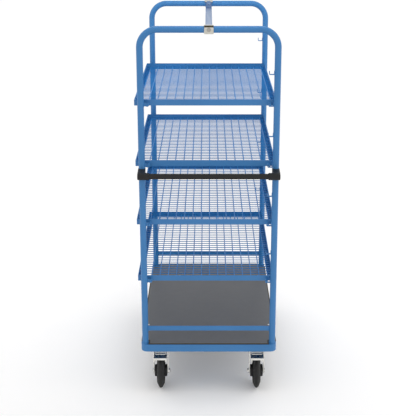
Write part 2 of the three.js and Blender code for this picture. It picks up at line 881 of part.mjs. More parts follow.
// Brake pedal: a stepped plate on two arms, with a shoe over the tyre
function brakePedal() {
  const pinHeightHere = castorHeight - pedalPinDrop;
  const startHeight = castorHeight - pedalTopDrop;
  const tipHeight = castorHeight - pedalTipDrop;
  const top = [];
  const under = [];
  for (let step = 0; step <= pedalSteps; step += 1) {
    const share = step / pedalSteps;
    const y = -pedalStart - (pedalReach - pedalStart) * share;
    const z = startHeight + (tipHeight - startHeight) * share;
    if (step > 0) {
      top.push([y, z + pedalStepHeight]);
    }
    if (step < pedalSteps) {
      top.push([y, z]);
    }
    under.unshift([y, z - pedalThickness]);
  }
  const plate = crosswise([...top, ...under], -pedalWidth / 2, pedalWidth / 2);
  const armOutside = pedalWidth / 2 - pedalArmInset + forkWall;
  const arms = sides.map((side) => {
    const inside = Math.min(side.side * (armOutside - forkWall), side.side * armOutside);
    const outline = [
      [-pedalStart - pedalArmHeight, startHeight - pedalThickness - pedalArmHeight],
      [pedalArmHeight / 2 - pedalPinSetback, pinHeightHere - pedalArmHeight / 2],
      [pedalArmHeight / 2 - pedalPinSetback, pinHeightHere + pedalArmHeight / 2],
      [-pedalStart, startHeight - weldBite],
      [-pedalStart - pedalArmHeight, startHeight - pedalThickness - weldBite],
    ];
    return crosswise(outline, inside, inside + forkWall);
  });
  const pinReach = forkWidth / 2 + forkWall;
  const pin = rod(
    "x",
    pedalPinDiameter,
    -pinReach,
    pinReach,
    [-pedalPinSetback, pinHeightHere],
    pinSides,
  );
  const shoeBottom = axleHeight + wheelRadius + shoeGap;
  const shoe = block(
    [-shoeWidth / 2, -shoeSetback - shoeThickness / 2, shoeBottom],
    [shoeWidth / 2, -shoeSetback + shoeThickness / 2, startHeight - pedalThickness],
  );
  return join(plate, ...arms, pin, shoe);
}

ends.forEach((end) => {
  sides.forEach((side) => {
    const name = end.name + "_" + side.name;
    const castor = new THREE.Group();
    castor.position.set(...castorPlace(end, side), 0);
    const wheel = wheelPieces(name);
    if (end.side < 0) {
      wheel.position.y = -castorTrail;
      castor.add(piece(name + "_castor_plate", "zinc", swivelPlate()));
      castor.add(piece(name + "_fork", "zinc", swivelFork()));
      castor.add(piece(name + "_brake_pedal", "zinc", brakePedal()));
    } else {
      castor.add(piece(name + "_fork", "zinc", fixedFork()));
    }
    castor.add(wheel);
    trolley.add(castor);
  });
});

// The origin is on the floor, under the middle of the trolley's outline
const outline = new THREE.Box3().setFromObject(trolley, true);
trolley.position.x = -(outline.min.x + outline.max.x) / 2;
trolley.position.y = -(outline.min.y + outline.max.y) / 2;

export default trolley;
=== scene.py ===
# %% [markdown]
# # A shelf trolley, dressed for its picture
# The real thing is a welded steel platform truck. Two arches of bent tube stand on its deck, four
# wire shelves hang between them on pins and can be tipped, a black handle sits across the near
# arch, and it rolls on two braked swivel castors and two fixed ones. The solids come ready made
# from the CAD model, in metres. This script puts a finished shape and a finish on each of them,
# one trade at a time: tube bending, sheet metal, wire, moulding, turning and paint.

# %% Load the solids and note their box
import json
import math

import bmesh
import bpy
from mathutils import Matrix, Vector

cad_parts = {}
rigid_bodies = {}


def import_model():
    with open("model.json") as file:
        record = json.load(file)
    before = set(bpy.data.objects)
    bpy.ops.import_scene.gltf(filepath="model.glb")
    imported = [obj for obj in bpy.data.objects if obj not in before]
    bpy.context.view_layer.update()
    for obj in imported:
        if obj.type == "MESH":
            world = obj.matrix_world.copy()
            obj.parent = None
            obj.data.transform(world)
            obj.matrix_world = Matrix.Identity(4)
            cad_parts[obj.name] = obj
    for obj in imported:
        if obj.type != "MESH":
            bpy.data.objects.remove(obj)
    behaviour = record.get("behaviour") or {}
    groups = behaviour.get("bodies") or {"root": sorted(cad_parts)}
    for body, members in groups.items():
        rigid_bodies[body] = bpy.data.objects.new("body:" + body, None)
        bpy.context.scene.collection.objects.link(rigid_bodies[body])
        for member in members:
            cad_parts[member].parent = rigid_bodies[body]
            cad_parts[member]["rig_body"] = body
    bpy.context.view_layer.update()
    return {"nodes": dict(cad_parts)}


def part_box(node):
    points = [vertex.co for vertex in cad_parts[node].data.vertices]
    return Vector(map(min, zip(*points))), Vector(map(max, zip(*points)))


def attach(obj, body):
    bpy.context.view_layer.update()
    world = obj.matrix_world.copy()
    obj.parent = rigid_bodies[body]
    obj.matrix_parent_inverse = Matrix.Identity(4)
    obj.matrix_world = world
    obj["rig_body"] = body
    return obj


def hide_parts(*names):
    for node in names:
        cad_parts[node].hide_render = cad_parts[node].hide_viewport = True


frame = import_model()
print("solids:", len(frame["nodes"]))

# %% [markdown]
# ## Units and places
# Blender counts in metres and the workshop counts in millimetres, so every size below is written
# as so many MM. Places are read from the boxes of the solids, so that nothing has to be fitted by
# eye. Left and right are as seen from the handle, which is at the near end.

# %% Units, and the places that many pieces share
MM = 0.001
TINY = 1e-6
QUARTER = math.pi / 2
ENDS = {"near": -1, "far": 1}
SIDES = {"left": -1, "right": 1}


def middle_of(node):
    low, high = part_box(node)
    return (low + high) / 2


tube_radius = 14 * MM
arch_low, arch_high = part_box("near_end_frame")
arch_centre_x = (arch_low.x + arch_high.x) / 2
post_half_spread = (arch_high.x - arch_low.x) / 2 - tube_radius
post_inner_half = post_half_spread - tube_radius
post_y = {end: middle_of(end + "_end_frame").y for end in ENDS}
print("posts at X", arch_centre_x, "+-", round(post_half_spread, 4), "and Y", post_y)

# %% [markdown]
# ## Benches: one helper for each way of making a shape
# A flat plate with holes is easiest as a two-dimensional curve: Blender fills it, gives it
# thickness and rounds its edges in one go. A turned part is a profile spun round an axis. A rim is
# a section run round a rectangle. Each helper hands back a closed mesh that already lies in its
# place, and assemble() joins such meshes into one named piece at the origin.

# %% Lines with rounded corners, and the outline of a bent strip
NEARLY_STRAIGHT = QUARTER - 0.01
SIDE_SHARE = 0.49
SHARPEST_FOLD = 0.5


def filleted(points, radius, steps=5, closed=True):
    """A polygon, or a bent line, with rounded corners. radius is one number, or one for each."""
    corners = [Vector(point) for point in points]
    radii = radius if isinstance(radius, (list, tuple)) else [radius] * len(corners)
    made = []
    for index, here in enumerate(corners):
        ends_here = not closed and index in (0, len(corners) - 1)
        before = corners[index - 1] - here
        after = corners[(index + 1) % len(corners)] - here
        half_angle = before.angle(after) / 2
        if ends_here or radii[index] <= 0 or half_angle > NEARLY_STRAIGHT:
            made.append(here)
            continue
        longest = SIDE_SHARE * min(before.length, after.length)
        reach = min(radii[index] / math.tan(half_angle), longest)
        inward = (before.normalized() + after.normalized()).normalized()
        centre = here + inward * (reach / math.cos(half_angle))
        first = here + before.normalized() * reach - centre
        last = here + after.normalized() * reach - centre
        turn = math.atan2(first.x * last.y - first.y * last.x, first.dot(last))
        for step in range(steps + 1):
            made.append(centre + Matrix.Rotation(turn * step / steps, 2) @ first)
    return [tuple(point) for point in made]


def strip_outline(line, thickness):
    """The outline of a flat strip that is bent along a line, seen edge on."""
    points = [Vector(point) for point in line]
    left, right = [], []
    for index, here in enumerate(points):
        back = (here - points[max(index - 1, 0)]).normalized()
        ahead = (points[min(index + 1, len(points) - 1)] - here).normalized()
        along = (back + ahead).normalized()
        across = Vector((-along.y, along.x))
        widen = 1 / max(along.dot(ahead if ahead.length else back), SHARPEST_FOLD)
        left.append(tuple(here + across * (thickness / 2) * widen))
        right.append(tuple(here - across * (thickness / 2) * widen))
    return left + right[::-1]


def ring(radius, middle=(0, 0), flats=24):
    turns = [2 * math.pi * step / flats for step in range(flats)]
    return [(middle[0] + radius * math.cos(a), middle[1] + radius * math.sin(a)) for a in turns]


def arc(middle, radius, first, last, steps):
    """Points on a circle from one angle to another."""
    turns = [first + (last - first) * step / steps for step in range(steps + 1)]
    return [(middle[0] + radius * math.cos(a), middle[1] + radius * math.sin(a)) for a in turns]


def in_mm(*pairs, start=(0, 0)):
    """These pairs of millimetres, counted from a starting place."""
    return [(start[0] + first * MM, start[1] + second * MM) for first, second in pairs]


def rectangle(low, high, corner=0):
    points = [low, (high[0], low[1]), high, (low[0], high[1])]
    return filleted(points, corner) if corner else points


print("a rounded square has", len(rectangle((0, 0), (1, 1), 0.1)), "corners")

# %% Plates, turned parts and mitred rims
PLANES = {
    "XY": Matrix(((1, 0, 0), (0, 1, 0), (0, 0, 1))),
    "YZ": Matrix(((0, 0, 1), (1, 0, 0), (0, 1, 0))),
    "XZ": Matrix(((1, 0, 0), (0, 0, -1), (0, 1, 0))),
}
AXES = {
    "X": Matrix(((0, 0, 1), (1, 0, 0), (0, 1, 0))),
    "Y": Matrix(((1, 0, 0), (0, 0, -1), (0, 1, 0))),
    "Z": Matrix(((1, 0, 0), (0, 1, 0), (0, 0, 1))),
}


def closed_mesh(bench, name):
    """Merges the doubles of a shape, points its faces outwards and hands it back as a mesh."""
    bmesh.ops.remove_doubles(bench, verts=bench.verts, dist=TINY)
    bmesh.ops.recalc_face_normals(bench, faces=bench.faces)
    mesh = bpy.data.meshes.new(name)
    bench.to_mesh(mesh)
    bench.free()
    return mesh


def plate(loops, thickness, at, plane="XY", edge=0.4 * MM):
    """Flat stock: one outline, then its holes. at is the middle of its thickness."""
    curve = bpy.data.curves.new("outline", "CURVE")
    curve.dimensions = "2D"
    curve.fill_mode = "BOTH"
    curve.extrude = thickness / 2 - edge
    curve.bevel_depth = edge
    curve.bevel_resolution = 1
    curve.offset = -edge
    for loop in loops:
        spline = curve.splines.new("POLY")
        spline.points.add(len(loop) - 1)
        spline.use_cyclic_u = True
        for point, (across, up) in zip(spline.points, loop):
            point.co = (across, up, 0, 1)
    holder = bpy.data.objects.new("outline", curve)
    filled = bpy.data.meshes.new_from_object(holder)
    bench = bmesh.new()
    bench.from_mesh(filled)
    bpy.data.objects.remove(holder)
    bpy.data.curves.remove(curve)
    bpy.data.meshes.remove(filled)
    turn = PLANES[plane]
    bmesh.ops.transform(bench, matrix=turn.to_4x4(), verts=bench.verts)
    shift = turn.col[2] * (at if plane != "XZ" else -at)
    bmesh.ops.translate(bench, vec=shift, verts=bench.verts)
    return closed_mesh(bench, "plate")


def bent_strip(line, bend, thickness, width, at, plane, edge=0.4 * MM, steps=5):
    """Flat strip bent along a line that is seen edge on."""
    outline = strip_outline(filleted(line, bend, steps, closed=False), thickness)
    return plate([outline], width, at, plane, edge)


def turned(profile, middle=(0, 0, 0), axis="Z", flats=48):
    """A turned shape from (radius, place along the axis) pairs, closed on the axis or on itself."""
    bench = bmesh.new()
    turn = AXES[axis]
    flip = -1 if axis == "Y" else 1
    loops = []
    for radius, along in profile:
        count = 1 if radius < TINY else flats
        points = [Vector((x, y, flip * along)) for x, y in ring(radius, flats=flats)[:count]]
        loops.append([bench.verts.new(Vector(middle) + turn @ point) for point in points])
    pairs = list(zip(loops, loops[1:]))
    if profile[0][0] > TINY:
        pairs.append((loops[-1], loops[0]))
    for lower, upper in pairs:
        for step in range(flats):
            corners = [lower[step % len(lower)], lower[(step + 1) % len(lower)]]
            corners += [upper[(step + 1) % len(upper)], upper[step % len(upper)]]
            unique = list(dict.fromkeys(corners))
            if len(unique) > 2:
                bench.faces.new(unique)
    return closed_mesh(bench, "turned")


def both_ways(half):
    """A profile with the same again on the other side of its middle."""
    return [(radius, -along) for radius, along in half[::-1]] + half


def rod(radius, first, last, middle=(0, 0, 0), axis="Z", flats=48):
    """A plain round bar from one place along its axis to another."""
    return turned([(0, first), (radius, first), (radius, last), (0, last)], middle, axis, flats)


def mitred(half_sizes, corner, profile, middle, steps=6):
    """A section of (inset, height) pairs run round a rectangle with rounded corners."""
    bench = bmesh.new()
    loops = []
    for inset, height in profile:
        bend = max(corner - inset, 0)
        inner = [half - inset - bend for half in half_sizes]
        loop = []
        for quarter, (sign_x, sign_y) in enumerate([(1, 1), (-1, 1), (-1, -1), (1, -1)]):
            for step in range(steps + 1):
                angle = QUARTER * (quarter + step / steps)
                x = sign_x * inner[0] + bend * math.cos(angle)
                y = sign_y * inner[1] + bend * math.sin(angle)
                loop.append(bench.verts.new(Vector(middle) + Vector((x, y, height))))
        loops.append(loop)
    for lower, upper in zip(loops, loops[1:] + loops[:1]):
        for step, corner_here in enumerate(lower):
            after = (step + 1) % len(lower)
            bench.faces.new([corner_here, lower[after], upper[after], upper[step]])
    return closed_mesh(bench, "rim")


trials = [
    plate([ring(1), ring(0.5)], 0.2, 0),
    turned([(0, 0), (1, 0), (0, 1)]),
    mitred((2, 1), 0.3, [(0, 0), (0, 1), (0.1, 1), (0.1, 0)], (0, 0, 0)),
]
for trial in trials:
    print(trial.name, "makes", len(trial.polygons), "faces")
    bpy.data.meshes.remove(trial)

# %% [markdown]
# ## Joining, shading and seating a piece
# Steel that was bent or turned is smooth, and its sheared edges are crisp. So all faces are shaded
# smooth, edges sharper than a set angle stay sharp, and a Weighted Normal modifier keeps the flats
# flat beside their rounded edges. seat() then lets the piece stand for its solids: it hides them
# and rides on their body.

# %% Assemble a piece, move a shape, and seat it on its body
SHARP_ANGLE = math.radians(38)


def assemble(name, meshes, material):
    bench = bmesh.new()
    for mesh in meshes:
        bench.from_mesh(mesh)
        bpy.data.meshes.remove(mesh)
    data = bpy.data.meshes.new(name)
    bench.to_mesh(data)
    bench.free()
    data.polygons.foreach_set("material_index", [0] * len(data.polygons))
    data.polygons.foreach_set("use_smooth", [True] * len(data.polygons))
    data.set_sharp_from_angle(angle=SHARP_ANGLE)
    data.materials.append(material)
    piece = bpy.data.objects.new(name, data)
    bpy.context.scene.collection.objects.link(piece)
    even = piece.modifiers.new("Even shading", "WEIGHTED_NORMAL")
    even.keep_sharp = True
    print(f"{name}: {len(data.polygons)} faces")
    return piece


def moved(mesh, shift):
    mesh.transform(Matrix.Translation(shift))
    return mesh


def seat(piece, nodes):
    """The piece stands for these solids and moves with their body."""
    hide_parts(*nodes)
    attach(piece, frame["nodes"][nodes[0]]["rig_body"])
    return piece


def add_to(piece, node):
    """The piece is extra detail that moves with the body of that solid."""
    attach(piece, frame["nodes"][node]["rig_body"])
    return piece


print("sharp edges turn more than", round(math.degrees(SHARP_ANGLE)), "degrees")

# %% [markdown]
# ## Geometry Nodes for what repeats or follows a line
# Tubes, wires, screws and weld beads all follow a rule, so each gets a small node tree with named
# sizes. A tree works on a mesh of points or lines that says where things go. It ends by making its
# instances real and setting the material, and grown() keeps the result as a plain mesh.

# %% Helpers that write a tree and grow a mesh from it
SOCKETS = {
    "size": "NodeSocketFloat",
    "count": "NodeSocketInt",
    "place": "NodeSocketVector",
    "finish": "NodeSocketMaterial",
}


def start_tree(name, **inputs):
    """A new tree with a geometry input and one named input for each keyword."""
    tree = bpy.data.node_groups.new(name, "GeometryNodeTree")
    tree.interface.new_socket("Geometry", in_out="INPUT", socket_type="NodeSocketGeometry")
    for label, kind in {**inputs, "finish": "finish"}.items():
        tree.interface.new_socket(label, in_out="INPUT", socket_type=SOCKETS[kind])
    tree.interface.new_socket("Geometry", in_out="OUTPUT", socket_type="NodeSocketGeometry")
    return tree, tree.nodes.new("NodeGroupInput").outputs


def step(tree, kind, inputs=None, **settings):
    """Adds one node, sets it up and feeds its inputs from sockets or plain values."""
    node = tree.nodes.new(kind)
    for label, value in settings.items():
        setattr(node, label, value)
    for label, value in (inputs or {}).items():
        if isinstance(value, bpy.types.NodeSocket):
            tree.links.new(value, node.inputs[label])
        else:
            node.inputs[label].default_value = value
    return node.outputs[0]


def sum_of(tree, operation, first, second):
    return step(tree, "ShaderNodeMath", {0: first, 1: second}, operation=operation)


def joined(tree, *shapes):
    node = tree.nodes.new("GeometryNodeJoinGeometry")
    for shape in shapes:
        tree.links.new(shape, node.inputs[0])
    return node.outputs[0]


def end_tree(tree, geometry, finish):
    real = step(tree, "GeometryNodeRealizeInstances", {"Geometry": geometry})
    done = step(tree, "GeometryNodeSetMaterial", {"Geometry": real, "Material": finish})
    tree.links.new(done, tree.nodes.new("NodeGroupOutput").inputs[0])
    print("tree", tree.name, "has", len(tree.nodes), "nodes")
    return tree


def lines_mesh(lines, closed=False):
    """A mesh of bare edges along the given lines of points."""
    mesh = bpy.data.meshes.new("lines")
    points, edges = [], []
    for line in lines:
        first = len(points)
        points += [tuple(point) for point in line]
        edges += [(index, index + 1) for index in range(first, len(points) - 1)]
        if closed:
            edges.append((len(points) - 1, first))
    mesh.from_pydata(points, edges, [])
    return mesh


def grown(tree, places, finish, **sizes):
    """Runs a tree on a mesh of places and hands back what it made as a plain mesh."""
    holder = bpy.data.objects.new("grown", places)
    bpy.context.scene.collection.objects.link(holder)
    modifier = holder.modifiers.new(tree.name, "NODES")
    modifier.node_group = tree
    items = [item for item in tree.interface.items_tree if item.in_out == "INPUT"]
    sockets = {item.name: item.identifier for item in items}
    for label, value in {**sizes, "finish": finish}.items():
        modifier[sockets[label]] = value
    depsgraph = bpy.context.evaluated_depsgraph_get()
    made = bpy.data.meshes.new_from_object(holder.evaluated_get(depsgraph))
    bpy.data.objects.remove(holder)
    bpy.data.meshes.remove(places)
    return made


# %% The bent tube tree
tube_sizes = {"radius": "size", "bend": "size", "flats": "count", "bend_steps": "count"}
tube_tree, given = start_tree("bent tube", **tube_sizes)
route = step(tube_tree, "GeometryNodeMeshToCurve", {"Mesh": given["Geometry"]})
bent = step(
    tube_tree,
    "GeometryNodeFilletCurve",
    {"Curve": route, "Count": given["bend_steps"], "Radius": given["bend"]},
    mode="POLY",
)
section = step(
    tube_tree,
    "GeometryNodeCurvePrimitiveCircle",
    {"Resolution": given["flats"], "Radius": given["radius"]},
)
tube = step(
    tube_tree,
    "GeometryNodeCurveToMesh",
    {"Curve": bent, "Profile Curve": section, "Fill Caps": True},
)
end_tree(tube_tree, tube, given["finish"])

# %% [markdown]
# ## The finishes
# Powder coat is a plastic skin on steel: even colour, a soft gloss, and a very fine orange peel
# that only shows in the highlights. Zinc plating is metal, a little uneven in tone and polish.
# Mouldings and rubber are near black and matt with a fine grain. Every pattern reads Object
# coordinates, and every size in it is per metre, so a scale of 900 gives cells about 1 mm wide.

# %% Helpers for writing a finish
def tone(red, green, blue):
    """A colour written in screen values, given the way shaders want it."""
    made = []
    for share in (red / 255, green / 255, blue / 255):
        made.append(((share + 0.055) / 1.055) ** 2.4 if share > 0.04045 else share / 12.92)
    return (*made, 1.0)


def start_finish(name, metallic=0.0, gloss=0.5):
    material = bpy.data.materials.new(name)
    material.use_nodes = True
    tree = material.node_tree
    shader = tree.nodes["Principled BSDF"]
    shader.inputs["Metallic"].default_value = metallic
    shader.inputs["Specular IOR Level"].default_value = gloss
    place = tree.nodes.new("ShaderNodeTexCoord").outputs["Object"]
    return material, tree, shader, place


def grain(tree, place, per_metre, detail=3.0, stretch=(1, 1, 1)):
    """Cloudy noise between 0 and 1. stretch above 1 packs it tighter along that axis."""
    scaled = step(tree, "ShaderNodeMapping", {"Vector": place, "Scale": stretch})
    node = tree.nodes.new("ShaderNodeTexNoise")
    tree.links.new(scaled, node.inputs["Vector"])
    node.inputs["Scale"].default_value = per_metre
    node.inputs["Detail"].default_value = detail
    return node.outputs[0]


NOISE_LOW, NOISE_HIGH = 0.3, 0.7
# The roughness of the shiniest and of the dullest spots of each kind of surface
BRIGHT = (0.24, 0.36)
BRUSHED = (0.3, 0.42)
COATED = (0.34, 0.46)
SATIN = (0.45, 0.58)
DULL = (0.45, 0.6)
FILMED = (0.47, 0.51)
DUSTY = (0.55, 0.75)
ROUGH = (0.6, 0.8)


def tones_between(tree, shader, factor, dark, light):
    """The base colour runs from dark to light over the middle values of the noise."""
    mix = tree.nodes.new("ShaderNodeValToRGB")
    marks = zip(mix.color_ramp.elements, (NOISE_LOW, NOISE_HIGH), (dark, light))
    for mark, position, colour in marks:
        mark.position = position
        mark.color = colour
    tree.links.new(factor, mix.inputs[0])
    tree.links.new(mix.outputs[0], shader.inputs["Base Color"])


def polish_between(tree, shader, factor, polish):
    """The roughness runs from the first value to the second as the noise does."""
    low, high = polish
    noise = {"Value": factor, "From Min": NOISE_LOW, "From Max": NOISE_HIGH}
    spread = step(tree, "ShaderNodeMapRange", {**noise, "To Min": low, "To Max": high})
    tree.links.new(spread, shader.inputs["Roughness"])


def relief(tree, shader, *layers):
    """Bumps, each a (height, depth in metres, strength) on top of the one before."""
    normal = None
    for height, depth, strength in layers:
        inputs = {"Height": height, "Distance": depth, "Strength": strength}
        if normal is not None:
            inputs["Normal"] = normal
        normal = step(tree, "ShaderNodeBump", inputs)
    tree.links.new(normal, shader.inputs["Normal"])


print("mid grey is", [round(value, 3) for value in tone(128, 128, 128)])

# %% Blue powder coat for the frame, the shelves and the wires
def powder_coat(name, dark, light, peel=0.25, gloss=0.5):
    material, tree, shader, place = start_finish(name, gloss=gloss)
    tones_between(tree, shader, grain(tree, place, 5, detail=4), dark, light)
    polish_between(tree, shader, grain(tree, place, 60), COATED)
    relief(
        tree,
        shader,
        (grain(tree, place, 450, detail=2), 0.12 * MM, peel),
        (grain(tree, place, 1600, detail=1), 0.03 * MM, peel),
    )
    return material


frame_paint = powder_coat("frame paint", tone(49, 115, 173), tone(55, 122, 181))
wire_paint = powder_coat("wire paint", tone(22, 106, 172), tone(30, 116, 182), peel=0.15, gloss=0.2)
print("paints:", frame_paint.name, "and", wire_paint.name)

# %% [markdown]
# The deck board is a pressed wood sheet with a hard grey film on both faces. The film has a fine
# pebble grain and is even in tone. The cut edge is sealed in dark brown, and it shows as a thin
# dark line where the board meets the blue rail.

# %% Grey film and brown cut edge of the deck board
def board_film():
    material, tree, shader, place = start_finish("board film", gloss=0.5)
    tones_between(tree, shader, grain(tree, place, 6, detail=3), tone(84, 85, 87), tone(86, 87, 89))
    polish_between(tree, shader, grain(tree, place, 25, detail=2), FILMED)
    pebbles = tree.nodes.new("ShaderNodeTexVoronoi")
    tree.links.new(place, pebbles.inputs["Vector"])
    pebbles.inputs["Scale"].default_value = 420
    relief(
        tree,
        shader,
        (pebbles.outputs[0], 0.1 * MM, 0.12),
        (grain(tree, place, 1500, detail=2), 0.05 * MM, 0.15),
    )
    return material


def board_edge():
    material, tree, shader, place = start_finish("board edge", gloss=0.3)
    layers = grain(tree, place, 12, detail=4, stretch=(1, 1, 90))
    tones_between(tree, shader, layers, tone(58, 53, 45), tone(74, 69, 59))
    polish_between(tree, shader, grain(tree, place, 300), ROUGH)
    relief(tree, shader, (grain(tree, place, 900, detail=3), 0.2 * MM, 0.4))
    return material


film = board_film()
cut_edge = board_edge()
print("board:", film.name, "and", cut_edge.name)

# %% [markdown]
# Castor forks, screws and clamps are bright zinc plate: metal, slightly blue, with cloudy polish
# marks. The strap across the top is rolled strip, so its grain runs along its length.

# %% Zinc plate and rolled strip
def zinc_plate(name, dark, light, polish, stretch=(1, 1, 1)):
    material, tree, shader, place = start_finish(name, metallic=1.0)
    tones_between(tree, shader, grain(tree, place, 35, detail=5, stretch=stretch), dark, light)
    polish_between(tree, shader, grain(tree, place, 90, detail=4, stretch=stretch), polish)
    relief(
        tree,
        shader,
        (grain(tree, place, 260, detail=3, stretch=stretch), 0.06 * MM, 0.25),
        (grain(tree, place, 2200, detail=1), 0.02 * MM, 0.2),
    )
    return material


zinc = zinc_plate("bright zinc", tone(206, 205, 199), tone(228, 227, 222), BRIGHT)
clamp_zinc = zinc_plate("clamp zinc", tone(192, 190, 181), tone(212, 210, 201), BRIGHT)
bolt_zinc = zinc_plate("bolt zinc", tone(158, 155, 150), tone(180, 177, 172), BRIGHT)
# A dark brownish zinc tone: a painted dark reflection, used on the outer bends of the saddle
# clamps.
painted_dark_reflection = zinc_plate("painted dark reflection", tone(66, 62, 52), tone(82, 78, 67), DULL)
rolled = (1, 0.05, 1)
strap_zinc = zinc_plate("rolled strip", tone(122, 148, 185), tone(137, 161, 195), BRUSHED, rolled)


def painted_edge_shade(material, middle, inner, outer, dark):
    """Darkens a strip towards both its long edges: painted shade, standing in for the light falling
    off over rounded edges.
    """
    tree = material.node_tree
    shader = tree.nodes["Principled BSDF"]
    place = tree.nodes.new("ShaderNodeTexCoord").outputs["Object"]
    across = step(tree, "ShaderNodeSeparateXYZ", {"Vector": place})
    away = sum_of(tree, "ABSOLUTE", sum_of(tree, "SUBTRACT", across, middle), 0.0)
    edge = step(tree, "ShaderNodeMapRange", {"Value": away, "From Min": inner, "From Max": outer})
    mix = tree.nodes.new("ShaderNodeMix")
    mix.data_type = "RGBA"
    plain = shader.inputs["Base Color"].links[0].from_socket
    tree.links.new(edge, mix.inputs["Factor"])
    tree.links.new(plain, mix.inputs[6])
    mix.inputs[7].default_value = dark
    tree.links.new(mix.outputs[2], shader.inputs["Base Color"])


# Painted shade: the strap's colour darkens towards its two long edges.
edge_shade = {"inner": 7 * MM, "outer": 15 * MM, "dark": tone(102, 133, 179)}
painted_edge_shade(strap_zinc, middle_of("top_strap").x, **edge_shade)
print("zinc:", [m.name for m in (zinc, clamp_zinc, bolt_zinc, painted_dark_reflection, strap_zinc)])

# %% [markdown]
# The handle sleeve, its mouldings, the wheel centres and the tyres are four blacks. They differ in
# shine and grain: the sleeve is ribbed by extrusion along its length, the mouldings have a spark
# eroded grain, and rubber is dusty and dull.

# %% Four blacks
def moulding(name, dark, light, polish, grain_scale, stretch=(1, 1, 1), depth=0.1 * MM):
    material, tree, shader, place = start_finish(name, gloss=0.35)
    tones_between(tree, shader, grain(tree, place, 30, detail=4), dark, light)
    polish_between(tree, shader, grain(tree, place, 120, detail=3), polish)
    relief(
        tree,
        shader,
        (grain(tree, place, grain_scale, detail=2, stretch=stretch), depth, 0.4),
        (grain(tree, place, 2 * grain_scale, detail=1), depth / 3, 0.3),
    )
    return material


drawn = (0.04, 1, 1)
sleeve_black = moulding("handle sleeve", tone(20, 19, 18), tone(27, 26, 25), SATIN, 700, drawn)
bracket_black = moulding("bracket moulding", tone(18, 18, 18), tone(25, 25, 25), SATIN, 900)
hub_black = moulding("wheel centre moulding", tone(20, 20, 21), tone(28, 28, 29), DULL, 800)
rubber_grain = {"grain_scale": 600, "depth": 0.15 * MM}
tyre_rubber = moulding("tyre rubber", tone(27, 27, 27), tone(38, 38, 37), DUSTY, **rubber_grain)
print("blacks:", [m.name for m in (sleeve_black, bracket_black, hub_black, tyre_rubber)])

# %% [markdown]
# ## The two arches
# Each arch is one length of 28 mm tube, bent cold at two corners on a 74 mm former. The bend takes
# four corner points: the tree rounds the two upper ones and sweeps a circle along the line. The
# foot of each post is welded to the deck frame all round, so a ring of weld sits there.

# %% Weld beads: a thick line laid along an edge in small ripples
weld_tree, given = start_tree("weld bead", radius="size", ripple="size", pitch="size")
seam = step(weld_tree, "GeometryNodeMeshToCurve", {"Mesh": given["Geometry"]})
stations = step(
    weld_tree,
    "GeometryNodeResampleCurve",
    {"Curve": seam, "Length": given["pitch"]},
    mode="LENGTH",
)
here = step(weld_tree, "GeometryNodeInputPosition")
blotch = step(weld_tree, "ShaderNodeTexNoise", {"Vector": here, "Scale": 260.0, "Detail": 1.0})
swell = sum_of(weld_tree, "MULTIPLY", blotch, given["ripple"])
thickness = sum_of(weld_tree, "ADD", swell, given["radius"])
bead_section = step(weld_tree, "GeometryNodeCurvePrimitiveCircle", {"Resolution": 8, "Radius": 1.0})
bead = step(
    weld_tree,
    "GeometryNodeCurveToMesh",
    {"Curve": stations, "Profile Curve": bead_section, "Scale": thickness, "Fill Caps": True},
)
end_tree(weld_tree, bead, given["finish"])
WELD = {"radius": 1.2 * MM, "ripple": 1.6 * MM, "pitch": 1.5 * MM}

# %% Bend the arches and weld their feet
bend_radius = 74 * MM
foot_lift = 1.2 * MM


def arch(end):
    low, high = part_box(end + "_end_frame")
    y = post_y[end]
    top = high.z - tube_radius
    left, right = arch_centre_x - post_half_spread, arch_centre_x + post_half_spread
    corners = [(left, y, low.z), (left, y, top), (right, y, top), (right, y, low.z)]
    sizes = {"radius": tube_radius, "bend": bend_radius, "flats": 40, "bend_steps": 20}
    tube_mesh = grown(tube_tree, lines_mesh([corners]), frame_paint, **sizes)
    rings = []
    for x in (left, right):
        circle = ring(tube_radius + foot_lift, (x, y), flats=32)
        rings.append([(px, py, low.z + foot_lift) for px, py in circle])
    welds = grown(weld_tree, lines_mesh(rings, closed=True), frame_paint, **WELD)
    piece = assemble(end + "_arch", [tube_mesh, welds], frame_paint)
    return seat(piece, [end + "_end_frame"])


for end in ENDS:
    arch(end)

# %% [markdown]
# ## Hooks and pivot brackets
# Every shelf hangs on four pins. On the left the pins turn in brackets with a hole. On the right
# they lie in small open hooks bent from flat strip, one hook level with the brackets and one higher
# up for the tipped shelf. They are small sheet metal, so each is an outline given its depth.

# %% Bend the hooks and cut the brackets
SHELVES = range(1, 5)
pin_radius = 4 * MM
pin_height = 8 * MM
pin_half_spread = 258 * MM
hook_reach = 22 * MM
hook_thickness = 3 * MM
hook_rise = 16 * MM
hook_depth = 12 * MM
tilt_rise = 134 * MM
fit_gap = 0.3 * MM
hook_bend = 3.2 * MM
lug_radius = 8 * MM
lug_foot = 3 * MM
small_sheet_edge = 0.5 * MM
bracket_thickness = 4 * MM
bracket_height = 17 * MM


def hook(end, bottom):
    """An open hook on the right post, whose floor carries a pin of that shelf."""
    floor = bottom + pin_height - pin_radius - fit_gap - hook_thickness / 2
    top = floor + hook_rise - hook_thickness / 2
    post = arch_centre_x + post_inner_half + fit_gap
    tip = arch_centre_x + post_inner_half - hook_reach + hook_thickness / 2
    line = [(post, top), (post, floor), (tip, floor), (tip, top)]
    place = (hook_depth, post_y[end], "XZ", small_sheet_edge)
    return bent_strip(line, hook_bend, hook_thickness, *place)


def bracket(end, bottom):
    """A plate on the left post, rounded round the hole for the pin that the shelf turns on."""
    post = arch_centre_x - post_inner_half - fit_gap
    pin = (arch_centre_x - pin_half_spread, bottom + pin_height)
    lug = arc(pin, lug_radius, -QUARTER, QUARTER, steps=8)
    outline = [(post, bottom + bracket_height), (post, bottom + lug_foot), *lug]
    hole = ring(pin_radius + fit_gap, pin)
    return plate([outline, hole], bracket_thickness, post_y[end], "XZ", small_sheet_edge)


def shelf_bottom(shelf):
    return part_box(f"shelf_frame_{shelf}")[0].z


